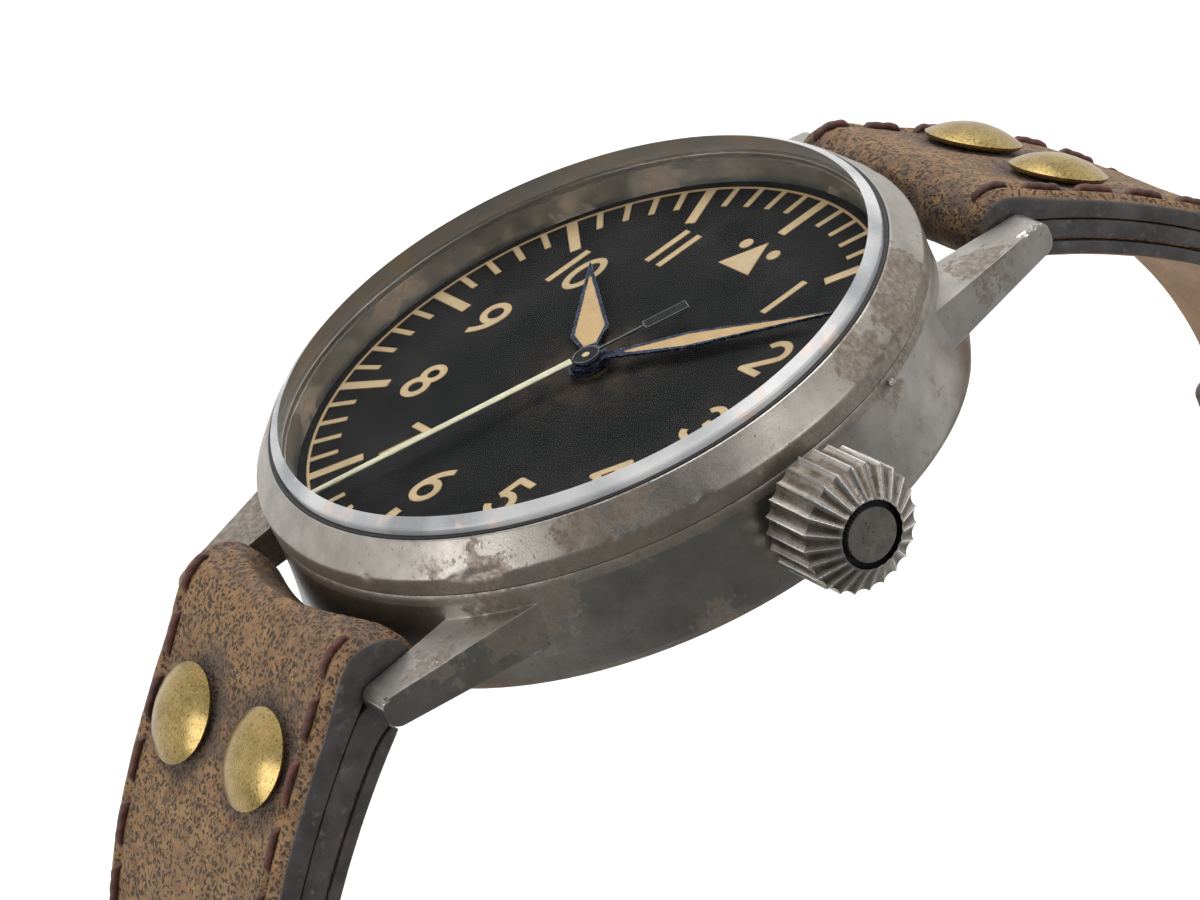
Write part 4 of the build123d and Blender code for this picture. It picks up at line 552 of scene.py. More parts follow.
wears = {
    "case": "case_body case_back",
    "bezel": "bezel",
    "crown": "crown",
    "rehaut": "rehaut_ring",
    "buckle": "buckle_frame",
    "bright": "crown_tube buckle_bar buckle_tongue bar_tubes",
    "spring": "upper_bar_tip_right upper_bar_tip_left lower_bar_tip_right lower_bar_tip_left winding_stem "
    "movement_clamps movement_screws barrel_arbor mainspring escape_wheel pallet_fork hairspring "
    "rotor_retainer cannon_pinion",
    "plate": "main_plate train_bridge balance_cock rotor",
    "gilt": "centre_wheel third_wheel fourth_wheel barrel hour_wheel minute_wheel balance_wheel",
    "glass": "crystal",
    "seal": "crystal_gasket back_gasket crown_gasket",
    "holder": "movement_ring",
    "dial": "dial",
    "print": "dial_print",
    "lume": "hour_lume minute_lume",
    "cream": "second_lume",
    "blued": "hour_hand minute_hand",
    "black_hand": "second_hand",
    "brass": "long_rivets short_rivets",
    "edge": "fixed_keeper sliding_keeper long_filler short_filler long_leather short_leather",
    "lining": "long_lining short_lining",
    "thread": "long_stitches short_stitches",
}
for look, names in wears.items():
    for name in names.split():
        mesh = nodes[name].data
        mesh.materials.clear()
        mesh.materials.append(materials[look])


# Shapes made here, in millimetres of the row frame
def solid_mesh(name, points, faces, looks=(), face_looks=None):
    mesh = bpy.data.meshes.new(name)
    mesh.from_pydata([tuple(MM * c for c in p) for p in points], [], faces)
    for look in looks:
        mesh.materials.append(materials[look])
    if face_looks is not None:
        mesh.polygons.foreach_set("material_index", face_looks)
    mesh.update()
    work = bmesh.new()
    work.from_mesh(mesh)
    bmesh.ops.recalc_face_normals(work, faces=work.faces)
    work.to_mesh(mesh)
    work.free()
    return mesh


def add_piece(name, points, faces, looks, body, replaces, face_looks=None, smooth=40):
    mesh = solid_mesh(name, points, faces, looks, face_looks)
    mesh.shade_smooth()
    mesh.set_sharp_from_angle(angle=radians(smooth))
    made = add_object(name, mesh)
    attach(made, body)
    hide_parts(*replaces)
    return made


# Faces between rows of equal length; each row, and the rows together, may close on themselves
def skin(rows, columns, wrap=True, close=False, start=0):
    faces = []
    for i in range(rows if close else rows - 1):
        for j in range(columns if wrap else columns - 1):
            a, b = start + i * columns, start + ((i + 1) % rows) * columns
            k = (j + 1) % columns
            faces.append((a + j, a + k, b + k, b + j))
    return faces


def caps(rows, columns):
    return [tuple(first + j for j in range(columns)) for first in (0, (rows - 1) * columns)]


def tube(rows, columns):
    return skin(rows, columns) + caps(rows, columns)


# Several shapes, each with its points and faces, as one
def joined(shapes):
    points, faces = [], []
    for more_points, more_faces in shapes:
        base = len(points)
        points += more_points
        faces += [tuple(base + i for i in face) for face in more_faces]
    return points, faces


def ripple(x, y, z, scale):
    return noise.noise(Vector((x * scale, y * scale, z * scale)))


# A bell that is 1 in the middle and falls off over a width
def bell(away, width):
    return exp(-((away / width) ** 2))


def on_arc(radius, degrees):
    return radius * cos(radians(degrees)), radius * sin(radians(degrees))


def cut(piece, cutter_points, cutter_faces):
    mesh = solid_mesh("cutter", cutter_points, cutter_faces)
    cutter = add_object("cutter", mesh)
    bite = piece.modifiers.new("bite", "BOOLEAN")
    bite.operation = "DIFFERENCE"
    bite.solver = "EXACT"
    bite.object = cutter
    bpy.context.view_layer.update()
    whole = piece.evaluated_get(bpy.context.evaluated_depsgraph_get())
    result = bpy.data.meshes.new_from_object(whole)
    piece.modifiers.remove(bite)
    old = piece.data
    piece.data = result
    bpy.data.meshes.remove(old)
    bpy.data.objects.remove(cutter)
    bpy.data.meshes.remove(mesh)


# A strap half seen from the side: outward distance u and height z along its middle line
class Half:
    def __init__(self, side, start, fold_r, heading, legs, thickness, rivet_s, name):
        self.side, self.start, self.fold_r, self.heading = side, start, fold_r, heading
        self.legs, self.thickness, self.rivet_s, self.name = legs, thickness, rivet_s, name
        self.length = sum(leg[0] for leg in legs)

    def state(self, s):
        u, z = self.start
        heading = radians(self.heading)
        left = s
        for length, turn in self.legs:
            run = min(left, length)
            bend = radians(turn) * run / length
            if turn:
                radius = length / radians(turn)
                u += radius * (sin(heading + bend) - sin(heading))
                z += radius * (cos(heading + bend) - cos(heading))
            else:
                u += run * cos(heading)
                z -= run * sin(heading)
            heading += bend
            left -= run
            if left <= 0:
                break
        return u, z, heading

    def thick(self, s):
        lug_t, end_t, taper = self.thickness
        return lug_t + (end_t - lug_t) * min(1, s / taper)

    def at(self, s, n):
        return self.near(s, 0, n)

    # A point at a distance along and out from a place on the middle line
    def near(self, s, along, out):
        u, z, heading = self.state(s)
        c, d = cos(heading), sin(heading)
        return u + along * c + out * d, z - along * d + out * c

    def top(self, s):
        rise = self.thick(s) / 2 + (self.fold_r - self.thick(0) / 2) * bell(s, SKIN_FOLD)
        if self.side > 0:
            rise += (BUCKLE_FOLD_R - self.thick(self.length) / 2) * bell(self.length - s, SKIN_END_FOLD)
        return rise

    def under(self, s):
        flat = LINING_T - self.thick(s) / 2
        drop = (self.fold_r + LINING_T - self.thick(0) / 2) * bell(s, UNDER_FOLD)
        if self.side > 0:
            end_flat = LINING_T - self.thick(self.length) / 2
            drop += (BUCKLE_FOLD_R + end_flat) * bell(self.length - s, UNDER_END_FOLD)
        return flat - drop

    # Where the outer skin is, s below 0 running round the fold: point and normal
    def skin_frame(self, s, lift):
        if s >= 0:
            u, z = self.at(s, self.top(s) + lift)
            heading = self.state(s)[2]
        else:
            angle = -s / self.fold_r
            r = self.fold_r + lift
            u, z = self.near(0, -r * sin(angle), r * cos(angle))
            heading = radians(self.heading) - angle
        normal = Vector((0, self.side * sin(heading), cos(heading)))
        return Vector((0, self.side * u, z)), normal


BAR_Y, BAR_Z = 23.3, 4.62
BAR_HOLE_R = 0.93
BUCKLE_FOLD_R = 1.75
BUCKLE_HOLE_R = 0.92
# How far the folds at the bar and at the buckle reach along the skin and the underside
SKIN_FOLD, SKIN_END_FOLD = 2.6, 1.8
UNDER_FOLD, UNDER_END_FOLD = 1.7, 1.3
LINING_T = 0.9
LINING_GAP = 0.02
LINING_FIRST = 2.1
LINING_STEP = 0.8
SEAM_SHARE = 0.1
SEAM_GAP = 0.03
HALF_W = 9.75
RIVET_X = 4.4
RIVET_SEAT_R = 3.3
STITCH_X = 8.35
STITCH_PITCH = 3.75
STITCH_FIRST = 3.2
STITCH_LEN = 3
CASE_CLEAR_R = 21.66
CASE_SWEEP = 15.5
STRAP_SWINGS = (0, 10, 20, 30)
TAIL_LEN = 7
TAIL_NOSE = 2.2
TAIL_MID_SHARES = (0.62, 0.72)
HOLE_R, HOLE_PITCH, HOLE_COUNT, HOLE_FROM_TIP = 0.95, 7, 7, 24
SLOT_R, SLOT_REACH = 1.45, 3.6
# Legs of the middle line: length and turn. Thickness: at the lug, at the end, and over what length.
LONG_LEGS = ((14, 14), (19.55, 40), (8.5, 0), (58.9, 90), (14.5, 0))
SHORT_LEGS = ((16, 17), (22.5, 45), (8, 0), (28.5, 45.4))
LONG_THICKNESS, SHORT_THICKNESS = (5, 2.4, 60), (3.8, 3, 45)
long_half = Half(-1, (BAR_Y + 0.2, BAR_Z + 0.41), 3, 36, LONG_LEGS, LONG_THICKNESS, 6.8, "long")
short_half = Half(1, (BAR_Y + 0.4, BAR_Z + 0.31), 2.3, 28, SHORT_LEGS, SHORT_THICKNESS, 7.2, "short")


# Half width at a place on the strap: the tail narrows on an arc to its nose
def half_width(half, s):
    past = s - (half.length - TAIL_LEN)
    if half.side > 0 or past <= 0:
        return HALF_W
    ax, ay = HALF_W, 0
    bx, by = TAIL_NOSE + TAIL_MID_SHARES[0] * (HALF_W - TAIL_NOSE), TAIL_MID_SHARES[1] * TAIL_LEN
    cx, cy = TAIL_NOSE, TAIL_LEN
    d = 2 * (ax * (by - cy) + bx * (cy - ay) + cx * (ay - by))
    mx = ((ax**2 + ay**2) * (by - cy) + (bx**2 + by**2) * (cy - ay) + (cx**2 + cy**2) * (ay - by)) / d
    my = ((ax**2 + ay**2) * (cx - bx) + (bx**2 + by**2) * (ax - cx) + (cx**2 + cy**2) * (bx - ax)) / d
    radius = hypot(ax - mx, ay - my)
    return mx + sqrt(max(0, radius**2 - (past - my) ** 2))


# Pushes a strap point out of the case's clearance at each part of the strap's swing
def clear_of_case(half, x, y, z):
    if abs(y) > CASE_CLEAR_R + 4 or z < -CASE_SWEEP:
        return y, z
    for swing in STRAP_SWINGS:
        a = radians(half.side * swing)
        c, s = cos(a), sin(a)
        by, bz = y - half.side * BAR_Y, z - BAR_Z
        ty, tz = half.side * BAR_Y + by * c - bz * s, BAR_Z + by * s + bz * c
        wall = sqrt(CASE_CLEAR_R**2 - x * x)
        if ty * half.side < wall:
            by, bz = half.side * (wall - BAR_Y), tz - BAR_Z
            y, z = half.side * BAR_Y + by * c + bz * s, BAR_Z - by * s + bz * c
    return y, z


# Marks in the skin: rounded edges, a pressed seam, a dip at each stitch's hole, a ring round the rivets
EDGE_DROP, EDGE_FROM_SHARE = 0.3, 0.89
SEAM_DIP, SEAM_DIP_W = 0.13, 0.4
STITCH_DIP, STITCH_DIP_W, STITCH_DIP_LEN = 0.2, 0.26, 0.3
RIVET_DIP, RIVET_DIP_R, RIVET_DIP_W = 0.16, 3.4, 0.7


# Height of the worn skin above its plain shape
def skin_relief(half, x, s):
    edge = max(0, abs(x) / HALF_W - EDGE_FROM_SHARE) / (1 - EDGE_FROM_SHARE)
    from_seam = abs(x) - STITCH_X
    lift = -EDGE_DROP * edge * edge - SEAM_DIP * bell(from_seam, SEAM_DIP_W)
    if s > -2:
        step = (s - STITCH_FIRST) / STITCH_PITCH
        past_end = abs(step - round(step)) * STITCH_PITCH - STITCH_LEN / 2 - 0.2
        lift -= STITCH_DIP * bell(from_seam, STITCH_DIP_W) * bell(past_end, STITCH_DIP_LEN)
    rivet = hypot(abs(x) - RIVET_X, s - half.rivet_s)
    lift -= RIVET_DIP * bell(rivet - RIVET_DIP_R, RIVET_DIP_W)
    if rivet < RIVET_SEAT_R - 0.1:
        lift -= 0.1
    calm = 0.25 if rivet < RIVET_SEAT_R else 1
    lift += calm * (0.07 * ripple(x, s, 3 * half.side, 0.22) + 0.035 * ripple(x, s, 8, 0.8))
    lift += 0.018 * calm * ripple(x, s, 15, 2.4)
    creases = 0.06 * bell(s + 1, 3.4)
    return lift + creases * ripple(x * 0.5, s * 1.9, 21, 1.1)


# Stations round the folded leather: outer and inner point, place s and kind
SKIN, ROUND, UNDERSIDE = 0, 1, 2
SKIN_STEP, UNDERSIDE_STEP = 0.33, 0.7
HOLE_REACH = 1.1


def folded_stations(half):
    length = half.length
    made = []
    fine, coarse = round(length / SKIN_STEP), round(length / UNDERSIDE_STEP)

    def inner_level(s, edge, far_edge):
        level = SEAM_SHARE * half.thick(s) + copysign(SEAM_GAP, edge)
        level += (edge - level) * bell(s, HOLE_REACH)
        if far_edge is not None:
            level += (far_edge - level) * bell(length - s, HOLE_REACH)
        return level

    heading = radians(half.heading)
    du, dz = BAR_Y - half.start[0], BAR_Z - half.start[1]
    bar_s = du * cos(heading) - dz * sin(heading)
    bar_n = du * sin(heading) + dz * cos(heading)
    far = BUCKLE_HOLE_R if half.side > 0 else None
    for k in range(fine, -1, -1):
        s = length * k / fine
        inner = inner_level(s, max(bar_n + BAR_HOLE_R, SEAM_SHARE * half.thick(0) + SEAM_GAP), far)
        made.append((half.at(s, half.top(s)), half.at(s, inner), s, SKIN))
    for angle in range(5, 180, 5):
        out, along = on_arc(half.fold_r, angle)
        hole_out, hole_along = on_arc(BAR_HOLE_R, angle)
        inner = half.near(0, bar_s - hole_along, bar_n + hole_out)
        place = -radians(angle) * half.fold_r
        made.append((half.near(0, -along, out), inner, place, SKIN if angle < 150 else ROUND))
    for k in range(coarse + 1):
        s = length * k / coarse
        inner = inner_level(s, bar_n - BAR_HOLE_R, None if far is None else -far)
        made.append((half.at(s, half.under(s)), half.at(s, inner), s, UNDERSIDE))
    if half.side > 0:
        for angle in range(170, 0, -10):
            out, along = on_arc(1, angle)
            outer, inner = (half.near(length, r * along, r * out) for r in (BUCKLE_FOLD_R, BUCKLE_HOLE_R))
            made.append((outer, inner, length + 0.1, ROUND))
    return made


ARC_TURNS = (0, 18, 36, 54, 72, 90)
SIDE_SHARES = (0.72, 0.42, 0.18)
INNER_X = (-8, -4, 0, 4, 8)


# A folded or flat layer as one closed mesh. Its section runs over the top places, down the left side,
# along the inner face and up the right side; sides is how far the sides bulge. The looks of its faces
# are 0 for the top, 1 for the sides and ends, 2 for the inner face.
def layer_mesh(half, stations, closed, rounds, tops, sides, relief):
    points = []
    for (ou, oz), (iu, iz), s, kind in stations:
        width = half_width(half, min(s, half.length))
        thick = hypot(ou - iu, oz - iz)
        nu, nz = (ou - iu) / thick, (oz - iz) / thick
        e_out, e_in = min(rounds[0], 0.45 * thick), min(rounds[1], 0.3 * thick)
        edge_lift = relief(half, HALF_W, s, kind)
        flank = []
        for turn in ARC_TURNS[1:]:
            x, rise = on_arc(1, 90 - turn)
            flank.append((width - e_out + e_out * x, thick - e_out + (e_out + edge_lift) * rise))
        for f in SIDE_SHARES:
            flank.append((width + sides * sin(pi * f), e_in + f * (thick - e_in - e_out)))
        for turn in ARC_TURNS[:-1]:
            x, drop = on_arc(e_in, turn)
            flank.append((width - e_in + x, e_in - drop))
        share = width / HALF_W
        section = [(x * share, thick + relief(half, x, s, kind)) for x in tops]
        section += [(-x, height) for x, height in flank]
        section += [(x * share, 0) for x in INNER_X] + flank[::-1]
        for x, height in section:
            u, z = iu + height * nu, iz + height * nz
            wave = 0.03 * ripple(x * 0.3, u, z, 0.9) if abs(x) > 9.5 else 0
            y, z = clear_of_case(half, x, half.side * u, z)
            points.append((x + copysign(wave, x), y, z))
    columns = len(section)
    faces = skin(len(stations), columns, True, closed)
    side_end = len(tops) + 2 * len(ARC_TURNS) + 1
    side_start = columns - 2 * len(ARC_TURNS) - 4
    row = []
    for j in range(columns):
        on_top = j < len(tops) + 2 or j >= columns - 3
        row.append(0 if on_top else 1 if j < side_end or j >= side_start else 2)
    looks_of = row * (len(stations) if closed else len(stations) - 1)
    if not closed:
        faces += caps(len(stations), columns)
        looks_of += [1, 1]
    return points, faces, looks_of


def leather_relief(half, x, s, kind):
    if kind == UNDERSIDE:
        return 0.02 * ripple(x, s, 31, 0.9)
    if kind == ROUND:
        return 0.03 * ripple(x, s, 37, 0.9)
    return skin_relief(half, x, s)


def lining_relief(half, x, s, kind):
    return 0.015 * ripple(x, s, 41, 0.8)


# Places across the skin and the lining, close together at the stitches
TOP_X = [9.1, 8.85, 8.65, 8.5, 8.35, 8.2, 8.05, 7.85, 7.5, 7] + [6.4 - 0.6 * k for k in range(10)] + [0.5]
TOP_X = TOP_X + [0] + [-x for x in reversed(TOP_X)]
PLAIN_X = [9.2, 8, 6.5, 5, 3.5, 2, 0.7]
PLAIN_X = PLAIN_X + [-x for x in reversed(PLAIN_X)]


LEATHER_ROUNDS, LINING_ROUNDS = (0.5, 0.16), (0.25, 0.05)
LEATHER_BULGE, LINING_BULGE = 0.05, 0.02


# A prism along the strap's normal, standing through the strap at s: two rings of points
def strap_prism(half, s, outline, depth):
    points = []
    for out in (-depth, depth):
        for x, along in outline:
            u, z = half.near(s, along, out)
            points.append((x, half.side * u, z))
    return points, tube(2, len(outline))


# What is cut out of a half: the long one's holes, the short one's slot for the tongue
def cutters(half):
    if half.side < 0:
        ring = [on_arc(HOLE_R, turn * 360 / 32) for turn in range(32)]
        places = [half.length - HOLE_FROM_TIP - HOLE_PITCH * k for k in range(HOLE_COUNT)]
        prisms = [strap_prism(half, s, ring, 3) for s in places]
    else:
        nose = [on_arc(SLOT_R, -15 * turn) for turn in range(13)]
        ring = [(x, along - SLOT_REACH) for x, along in nose] + [(-SLOT_R, 4), (SLOT_R, 4)]
        prisms = [strap_prism(half, half.length, ring, 3.2)]
    return joined(prisms)


def strap_layers(half, body):
    name = half.name
    points, faces, kinds = layer_mesh(
        half, folded_stations(half), half.side > 0, LEATHER_ROUNDS, TOP_X, LEATHER_BULGE, leather_relief
    )
    looks = ["leather_" + name, "edge", "core"]
    hidden = (name + "_leather", name + "_filler")
    made_name = name + "_folded_leather"
    leather = add_piece(made_name, points, faces, looks, body, hidden, kinds, 60)
    cut(leather, *cutters(half))
    first, last = LINING_FIRST, half.length - (0.25 if half.side < 0 else 2)
    count = round((last - first) / LINING_STEP)
    stations = []
    for k in range(count + 1):
        s = first + (last - first) * k / count
        stations.append((half.at(s, -half.thick(s) / 2), half.at(s, half.under(s) - LINING_GAP), s, SKIN))
    points, faces, kinds = layer_mesh(
        half, stations, False, LINING_ROUNDS, PLAIN_X, LINING_BULGE, lining_relief
    )
    looks = ["lining", "edge", "lining"]
    hidden = (name + "_lining",)
    made_name = name + "_strap_lining"
    lining = add_piece(made_name, points, faces, looks, body, hidden, kinds, 60)
    cut(lining, *cutters(half))


# Stitches of two twisted plies whose ends dip into the leather
THREAD_R = 0.25
THREAD_END = 0.3
THREAD_TWIST = 5.2
STITCH_LAST_GAP = 5
THREAD_AROUND, THREAD_STEPS = 14, 26


def stitch(half, centre, side):
    slant = random.uniform(-0.05, 0.09) * side
    lean = random.uniform(-0.03, 0.03)
    twist = random.uniform(0, pi)
    size = random.uniform(0.93, 1.05)
    reach = STITCH_LEN / 2 + random.uniform(-0.08, 0.06)
    points = []
    for i in range(THREAD_STEPS):
        t = -1 + 2 * i / (THREAD_STEPS - 1)
        end = max(0, 1 - abs(t)) * reach
        rounding = sqrt(max(0, 1 - (1 - min(1, end / THREAD_END)) ** 2))
        radius = THREAD_R * size * min(1, rounding + 0.02)
        sink = 0.08 - 0.42 * bell(end, THREAD_END) + 0.03 * (1 - t * t)
        point, normal = half.skin_frame(centre + t * reach, sink)
        x = side * STITCH_X + t * slant + lean
        turn = twist + t * THREAD_TWIST
        for j in range(THREAD_AROUND):
            a = tau * j / THREAD_AROUND
            r = radius * (0.8 + 0.2 * abs(cos(a - turn)))
            points.append(Vector((x + r * cos(a), 0, 0)) + point + normal * (r * sin(a)))
    return points, tube(THREAD_STEPS, THREAD_AROUND)


def stitch_line(half, body):
    count = int((half.length - STITCH_FIRST - STITCH_LAST_GAP) / STITCH_PITCH)
    centres = [STITCH_FIRST + index * STITCH_PITCH for index in range(-1, count)]
    points, faces = joined([stitch(half, centre, side) for centre in centres for side in (1, -1)])
    hidden = (half.name + "_stitches",)
    add_piece(half.name + "_thread", points, faces, ["thread"], body, hidden, None, 80)


# A closed path with places added between its points, a step apart at most or, rounded, about
def divided(path, step, whole):
    dense = []
    for i, here in enumerate(path):
        after = path[(i + 1) % len(path)]
        steps = max(1, whole(dist(after[:2], here[:2]) / step))
        dense += [tuple(a + (b - a) * k / steps for a, b in zip(here, after)) for k in range(steps)]
    return dense


# The four corners of a rounded rectangle: places on each arc with the way outward
def corner_arcs(half_w, half_h, r, step):
    arcs = []
    for side, level, first in ((1, 1, 0), (-1, 1, 90), (-1, -1, 180), (1, -1, 270)):
        ways = [on_arc(1, first + turn) for turn in range(0, 91, step)]
        arcs.append([(side * (half_w - r) + r * x, level * (half_h - r) + r * z, x, z) for x, z in ways])
    return arcs


KEEPER_T, KEEPER_W, KEEPER_CORNER_R, KEEPER_EDGE_R = 1.3, 5, 1.15, 0.42
KEEPER_SIDE_GAP, KEEPER_RISE = 0.25, 2.8
KEEPER_GROOVE_X = 1.85
KEEPER_STEP = 0.6
FIXED_KEEPER_AT, SLIDING_KEEPER_AT = short_half.length - 9, 42.5
# A straight keeper stands off the middle of the curve that it spans
LAST_LEG, LAST_TURN = SHORT_LEGS[-1]
FIXED_KEEPER_GAP = KEEPER_W**2 / (8 * (LAST_LEG / radians(LAST_TURN) - SHORT_THICKNESS[1] / 2)) + 0.03
SLIDING_KEEPER_GAP = 0.3


# A keeper: a leather band round the short half, a rounded loop across the strap
def keeper(name, s, gap, body, node):
    half = short_half
    depth = half.thick(s)
    inner_h = depth + gap + KEEPER_RISE
    middle = depth / 2 + KEEPER_RISE - inner_h / 2
    half_w, half_h = HALF_W + KEEPER_SIDE_GAP + KEEPER_T / 2, inner_h / 2 + KEEPER_T / 2
    path = sum(corner_arcs(half_w, half_h, KEEPER_CORNER_R, 10), [])
    dense = divided(path, KEEPER_STEP, round)
    section = []
    for index, corner in enumerate(corner_arcs(KEEPER_W / 2, KEEPER_T / 2, KEEPER_EDGE_R, 18)):
        section += [point[:2] for point in corner]
        if index % 2 == 0:
            along, out = section[-1]
            step = (index - 1) * (KEEPER_W - 2 * KEEPER_EDGE_R) / 8
            section += [(along + step * k, out) for k in range(1, 8)]
    points = []
    for px, pz, nx, nz in dense:
        for along, out in section:
            if out > 0:
                out += 0.05 * ripple(px, along, pz, 0.5) - 0.07 * bell(abs(along) - KEEPER_GROOVE_X, 0.16)
            u, z = half.near(s, along, middle + pz + nz * out)
            points.append((px + nx * out, u, z))
    columns = len(section)
    faces = skin(len(dense), columns, True, True)
    mids = [(section[j][1] + section[(j + 1) % columns][1]) / 2 for j in range(columns)]
    kinds = [0 if mid > KEEPER_T / 2 - 0.22 else 1 for mid in mids] * len(dense)
    add_piece(name, points, faces, ["leather_loop", "edge"], body, (node,), kinds, 60)


# Turned rings: a profile of radius and height, spun about the dial's axis
def turned(profile, count, offset=None):
    points = []
    for k in range(count):
        a = tau * k / count
        for r, z in profile:
            dr, dz = offset(a, r, z) if offset else (0, 0)
            points.append(((r + dr) * cos(a), (r + dr) * sin(a), z + dz))
    return points


# A closed outline with rounded corners, divided into short steps
def drawn(corners, step, roundings):
    path = []
    count = len(corners)
    for i in range(count):
        before, here, after = Vector(corners[i - 1]), Vector(corners[i]), Vector(corners[(i + 1) % count])
        back_way, on_way = before - here, after - here
        r = min(roundings[i], 0.45 * back_way.length, 0.45 * on_way.length)
        start, end = here + back_way.normalized() * r, here + on_way.normalized() * r
        for k in range(6):
            t = k / 5
            path.append(start * (1 - t) ** 2 + here * (2 * t * (1 - t)) + end * t * t)
    return divided(path, step, ceil)


BEZEL_R, BEZEL_BASE_Z, BEZEL_TOP_Z = 21, 7.78, 10.72
BEZEL_SEAT_Z, BEZEL_LIP_Z = 8.9, 9.3
CRYSTAL_SEAT_R, CRYSTAL_HOLD_R = 18.85, 19.47
BEZEL = (
    (19.25, BEZEL_BASE_Z),
    (20.86, BEZEL_BASE_Z),
    (BEZEL_R, 7.92),
    (BEZEL_R, 9),
    (19.62, BEZEL_TOP_Z),
    (CRYSTAL_HOLD_R, BEZEL_TOP_Z),
    (CRYSTAL_HOLD_R, BEZEL_LIP_Z),
    (CRYSTAL_SEAT_R, BEZEL_LIP_Z),
    (CRYSTAL_SEAT_R, BEZEL_SEAT_Z),
    (19.25, BEZEL_SEAT_Z),
)
BEZEL_ROUNDINGS = (0.05, 0.05, 0.05, 0.16, 0.1, 0.05, 0.05, 0.05, 0.05, 0.05)
# Dents in the bezel's rim: angle from 3 o'clock, height, width along, height of the dent and depth
DENTS = (
    (-53, 9.02, 1, 0.3, 0.26),
    (-49.2, 9.08, 0.55, 0.24, 0.18),
    (-56.5, 9.02, 0.3, 0.16, 0.1),
    (-14.5, 8.85, 0.4, 0.3, 0.14),
    (22.6, 8.85, 0.5, 0.26, 0.2),
    (26, 8.9, 0.3, 0.2, 0.12),
    (28.2, 8.88, 0.5, 0.24, 0.18),
    (-30, 9, 0.3, 0.18, 0.1),
    (-74, 9, 0.35, 0.18, 0.12),
    (-64, 10.72, 0.4, 0.2, 0.06),
    (48, 8.97, 0.5, 0.22, 0.12),
    (84, 8.97, 0.5, 0.22, 0.12),
    (143, 8.97, 0.7, 0.24, 0.15),
    (-161, 8.97, 0.6, 0.24, 0.14),
)


def bezel_wear(a, r, z):
    dr = 0.012 * ripple(a * BEZEL_R, z, 0, 0.45) if r > 19.7 else 0
    dz = 0
    for angle, height, wide, tall, deep in DENTS:
        gap = (a - radians(angle) + pi) % tau - pi
        if abs(gap) < 0.2 and r > 19.6:
            fall = deep * bell(gap * BEZEL_R, wide) * bell(z - height, tall)
            dr -= fall
            dz -= 0.4 * fall
    return dr, dz


def bezel_ring():
    profile = drawn(BEZEL, 0.22, BEZEL_ROUNDINGS)
    count = 720
    points, faces = turned(profile, count, bezel_wear), skin(count, len(profile), True, True)
    add_piece("worn_bezel", points, faces, ["bezel"], "case", ("bezel",), None, 50)


# Chips in the case: place and size
CHIPS = (
    (12.85, 20.6, 6.28, 0.42), (12.72, 21.3, 6.2, 0.28), (12.5, 23.1, 5.9, 0.45),
    (12.42, 23.9, 5.75, 0.3), (12.2, 24.7, 5.6, 0.36), (12.75, -21.2, 6.15, 0.4),
    (12.62, -22.3, 6.02, 0.25), (12.3, -24.6, 5.6, 0.3), (10, -22, 6, 0.22),
    (-12.8, 20.9, 6.2, 0.35), (-12.5, -22.8, 5.95, 0.35), (20.28, -6.5, 2, 0.3),
    (20.05, -7.3, 1.4, 0.4), (20.25, -6.6, 1.3, 0.28), (19.42, 8.36, 7.3, 0.26),
    (14.3, -15.35, 7.7, 0.22),
)


# An uneven pebble
def pebble(x, y, z, size, rings=7, around=9):
    points = []
    for i in range(rings):
        level, height = sin(pi * i / (rings - 1)), cos(pi * i / (rings - 1))
        for j in range(around):
            turn = tau * j / around
            r = size * random.uniform(0.75, 1.1)
            dx, dy = r * level * cos(turn), 1.3 * r * level * sin(turn)
            points.append((x + dx, y + dy, z + 0.8 * r * height))
    return points, tube(rings, around)


# The case body with its chips cut out of it
def chipped_case():
    case = add_object("chipped_case", nodes["case_body"].data.copy())
    cut(case, *joined([pebble(*chip) for chip in CHIPS]))
    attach(case, "case")
    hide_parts("case_body")


APEX_Z, DOME_RISE, DOME_R = 11.95, 0.345, 18.52
INNER_APEX_Z, INNER_RISE, INNER_R = 9.55, 0.25, 18.8
CRYSTAL_R = 19.18
CRYSTAL_RIM = (
    (CRYSTAL_SEAT_R, 9.31),
    (CRYSTAL_R, 9.31),
    (CRYSTAL_R, 10.2),
    (CRYSTAL_R, 11.1),
    (19.15, 11.17),
    (19.1, 11.23),
    (18.56, 11.6),
)


def crystal_dome():
    shares = (1, 0.996, 0.985, 0.97) + tuple(0.95 - 0.05 * k for k in range(19))
    outside = list(CRYSTAL_RIM) + [(DOME_R * share, APEX_Z - DOME_RISE * share**2) for share in shares]
    inside = [(INNER_R * share, INNER_APEX_Z - INNER_RISE * share**2) for share in reversed(shares)]
    count, rows, inner = 480, len(outside), len(inside)
    points = turned(outside, count) + [(0, 0, APEX_Z)]
    base = len(points)
    points += turned(inside, count) + [(0, 0, INNER_APEX_Z)]
    faces = skin(count, rows, False, True) + skin(count, inner, False, True, base)
    ground = [1 if 1 <= j < len(CRYSTAL_RIM) else 0 for j in range(rows - 1)]
    for k in range(count):
        after = (k + 1) % count
        faces.append((k * rows + rows - 1, after * rows + rows - 1, base - 1))
        faces.append((base + k * inner, base + after * inner, len(points) - 1))
        last = inner - 1
        faces.append((base + k * inner + last, base + after * inner + last, after * rows, k * rows))
    kinds = ground * count + [0] * (len(faces) - len(ground) * count)
    looks = ["glass", "ground"]
    add_piece("domed_crystal", points, faces, looks, "case", ("crystal",), kinds, 15)


# The thick coat of lume on the second hand, a little uneven along its edges
SECOND_ANGLE = 197.5
COAT = ((-1, 8.3), (-1, 8.36), (-0.7, 8.42), (0, 8.45), (0.7, 8.42), (1, 8.36), (1, 8.3))
COAT_FIRST, COAT_STEP, COAT_ROWS = 0.95, 0.2, 86


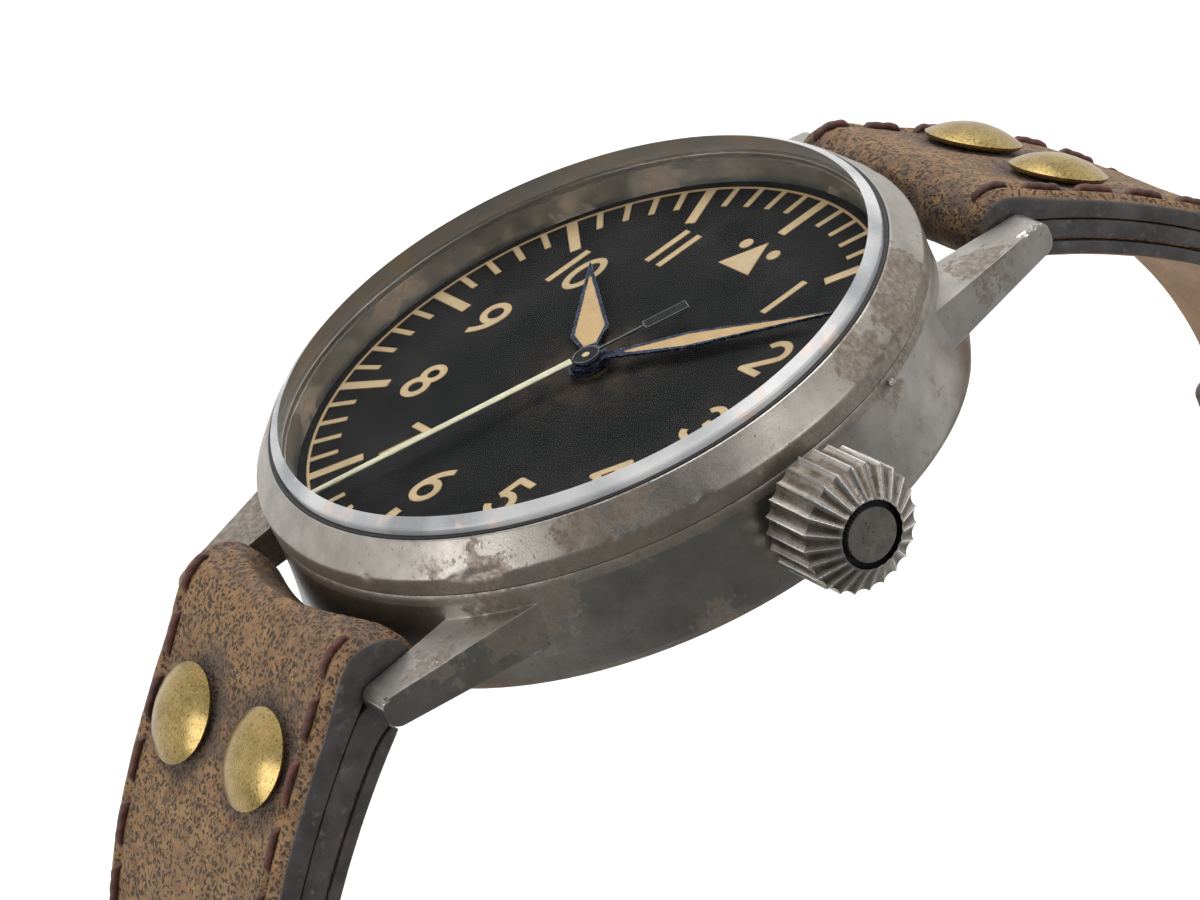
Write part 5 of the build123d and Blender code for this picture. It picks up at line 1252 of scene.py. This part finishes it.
def lume_coat():
    way_x, way_y = on_arc(1, 90 - SECOND_ANGLE)
    points = []
    for k in range(COAT_ROWS):
        r = COAT_FIRST + COAT_STEP * k
        wide = (0.29 - 0.005 * r) * (1 + 0.1 * ripple(r, 0, 7, 1.3))
        for share, z in COAT:
            x = share * wide
            points.append((r * way_x - x * way_y, r * way_y + x * way_x, z))
    faces = tube(COAT_ROWS, len(COAT))
    hidden = ("second_lume",)
    add_piece("second_hand_coat", points, faces, ["cream"], "second_train", hidden)


lume_coat()
strap_layers(long_half, "long_strap")
strap_layers(short_half, "short_strap")
stitch_line(long_half, "long_strap")
stitch_line(short_half, "short_strap")
keeper("fixed_loop", FIXED_KEEPER_AT, FIXED_KEEPER_GAP, "short_strap", "fixed_keeper")
keeper("sliding_loop", SLIDING_KEEPER_AT, SLIDING_KEEPER_GAP, "loose_keeper", "sliding_keeper")
bezel_ring()
crystal_dome()
chipped_case()


# Floor, world and lamps. The camera sees plain white. What metal and glass mirror is white on
# the far side of the studio and dim on the near side.
FAR_SIDE = Vector((-0.93, 0.367, 0))
MIRROR_NEAR, MIRROR_FAR = 0.16, 1
PLAIN_GLOW = 0.42


def far_share(g, direction):
    facing = g.node("VectorMath", "DOT_PRODUCT", {0: direction, 1: FAR_SIDE}).outputs["Value"]
    return g.ease(facing, -0.8, 0.5, MIRROR_NEAR, MIRROR_FAR)


def seen(g):
    return g.most(g.ray("Camera"), g.ray("Transmission"))


def pale_floor():
    g = Graph("pale_floor")
    plain = g.shader("BsdfDiffuse", Color=(0.8, 0.8, 0.8))
    glow = g.shader("Emission", Strength=g.times(seen(g), PLAIN_GLOW))
    lit = g.node("AddShader", inputs={0: plain, 1: glow}).outputs[0]
    outward = g.scaled(g.mm, 0.01)
    reach = g.node("VectorMath", "LENGTH", {0: outward}).outputs["Value"]
    outward = g.scaled(outward, g.math("DIVIDE", 1, g.plus(reach, 0.3)))
    mirrored = g.shader("Emission", Strength=far_share(g, outward))
    return g.shown(g.either(g.ray("Glossy"), lit, mirrored))


def studio():
    g = Graph("studio", world=True)
    strength = g.range(seen(g), 0, 1, PLAIN_GLOW, 1)
    gap = g.times(g.minus(far_share(g, g.way), strength), g.ray("Glossy"))
    return g.shown(g.shader("Background", Strength=g.plus(strength, gap), Color=(1, 1, 1)))


bpy.ops.mesh.primitive_plane_add(size=6, location=(0, 0, cad_box[0].z - 0.0002))
floor = bpy.context.object
floor.name = "floor"
floor.data.materials.append(pale_floor())
scene.world = studio()


def lamp(name, location, target, size, power):
    light = bpy.data.lights.new(name, "AREA")
    light.shape = "RECTANGLE"
    light.size, light.size_y = size
    light.energy = power
    made = add_object(name, light)
    made.location = location
    made.rotation_mode = "QUATERNION"
    made.rotation_quaternion = (Vector(location) - Vector(target)).to_track_quat("Z", "Y")


lamp("top_softbox", (-0.1, 0.25, 0.55), (0, 0, 0), (0.5, 0.35), 2.4)
lamp("left_softbox", (0.05, -0.55, 0.25), (0, 0, -0.02), (0.3, 0.45), 1.3)
lamp("front_fill", (0.5, 0.25, 0.25), (0, 0, -0.02), (0.25, 0.35), 0.8)
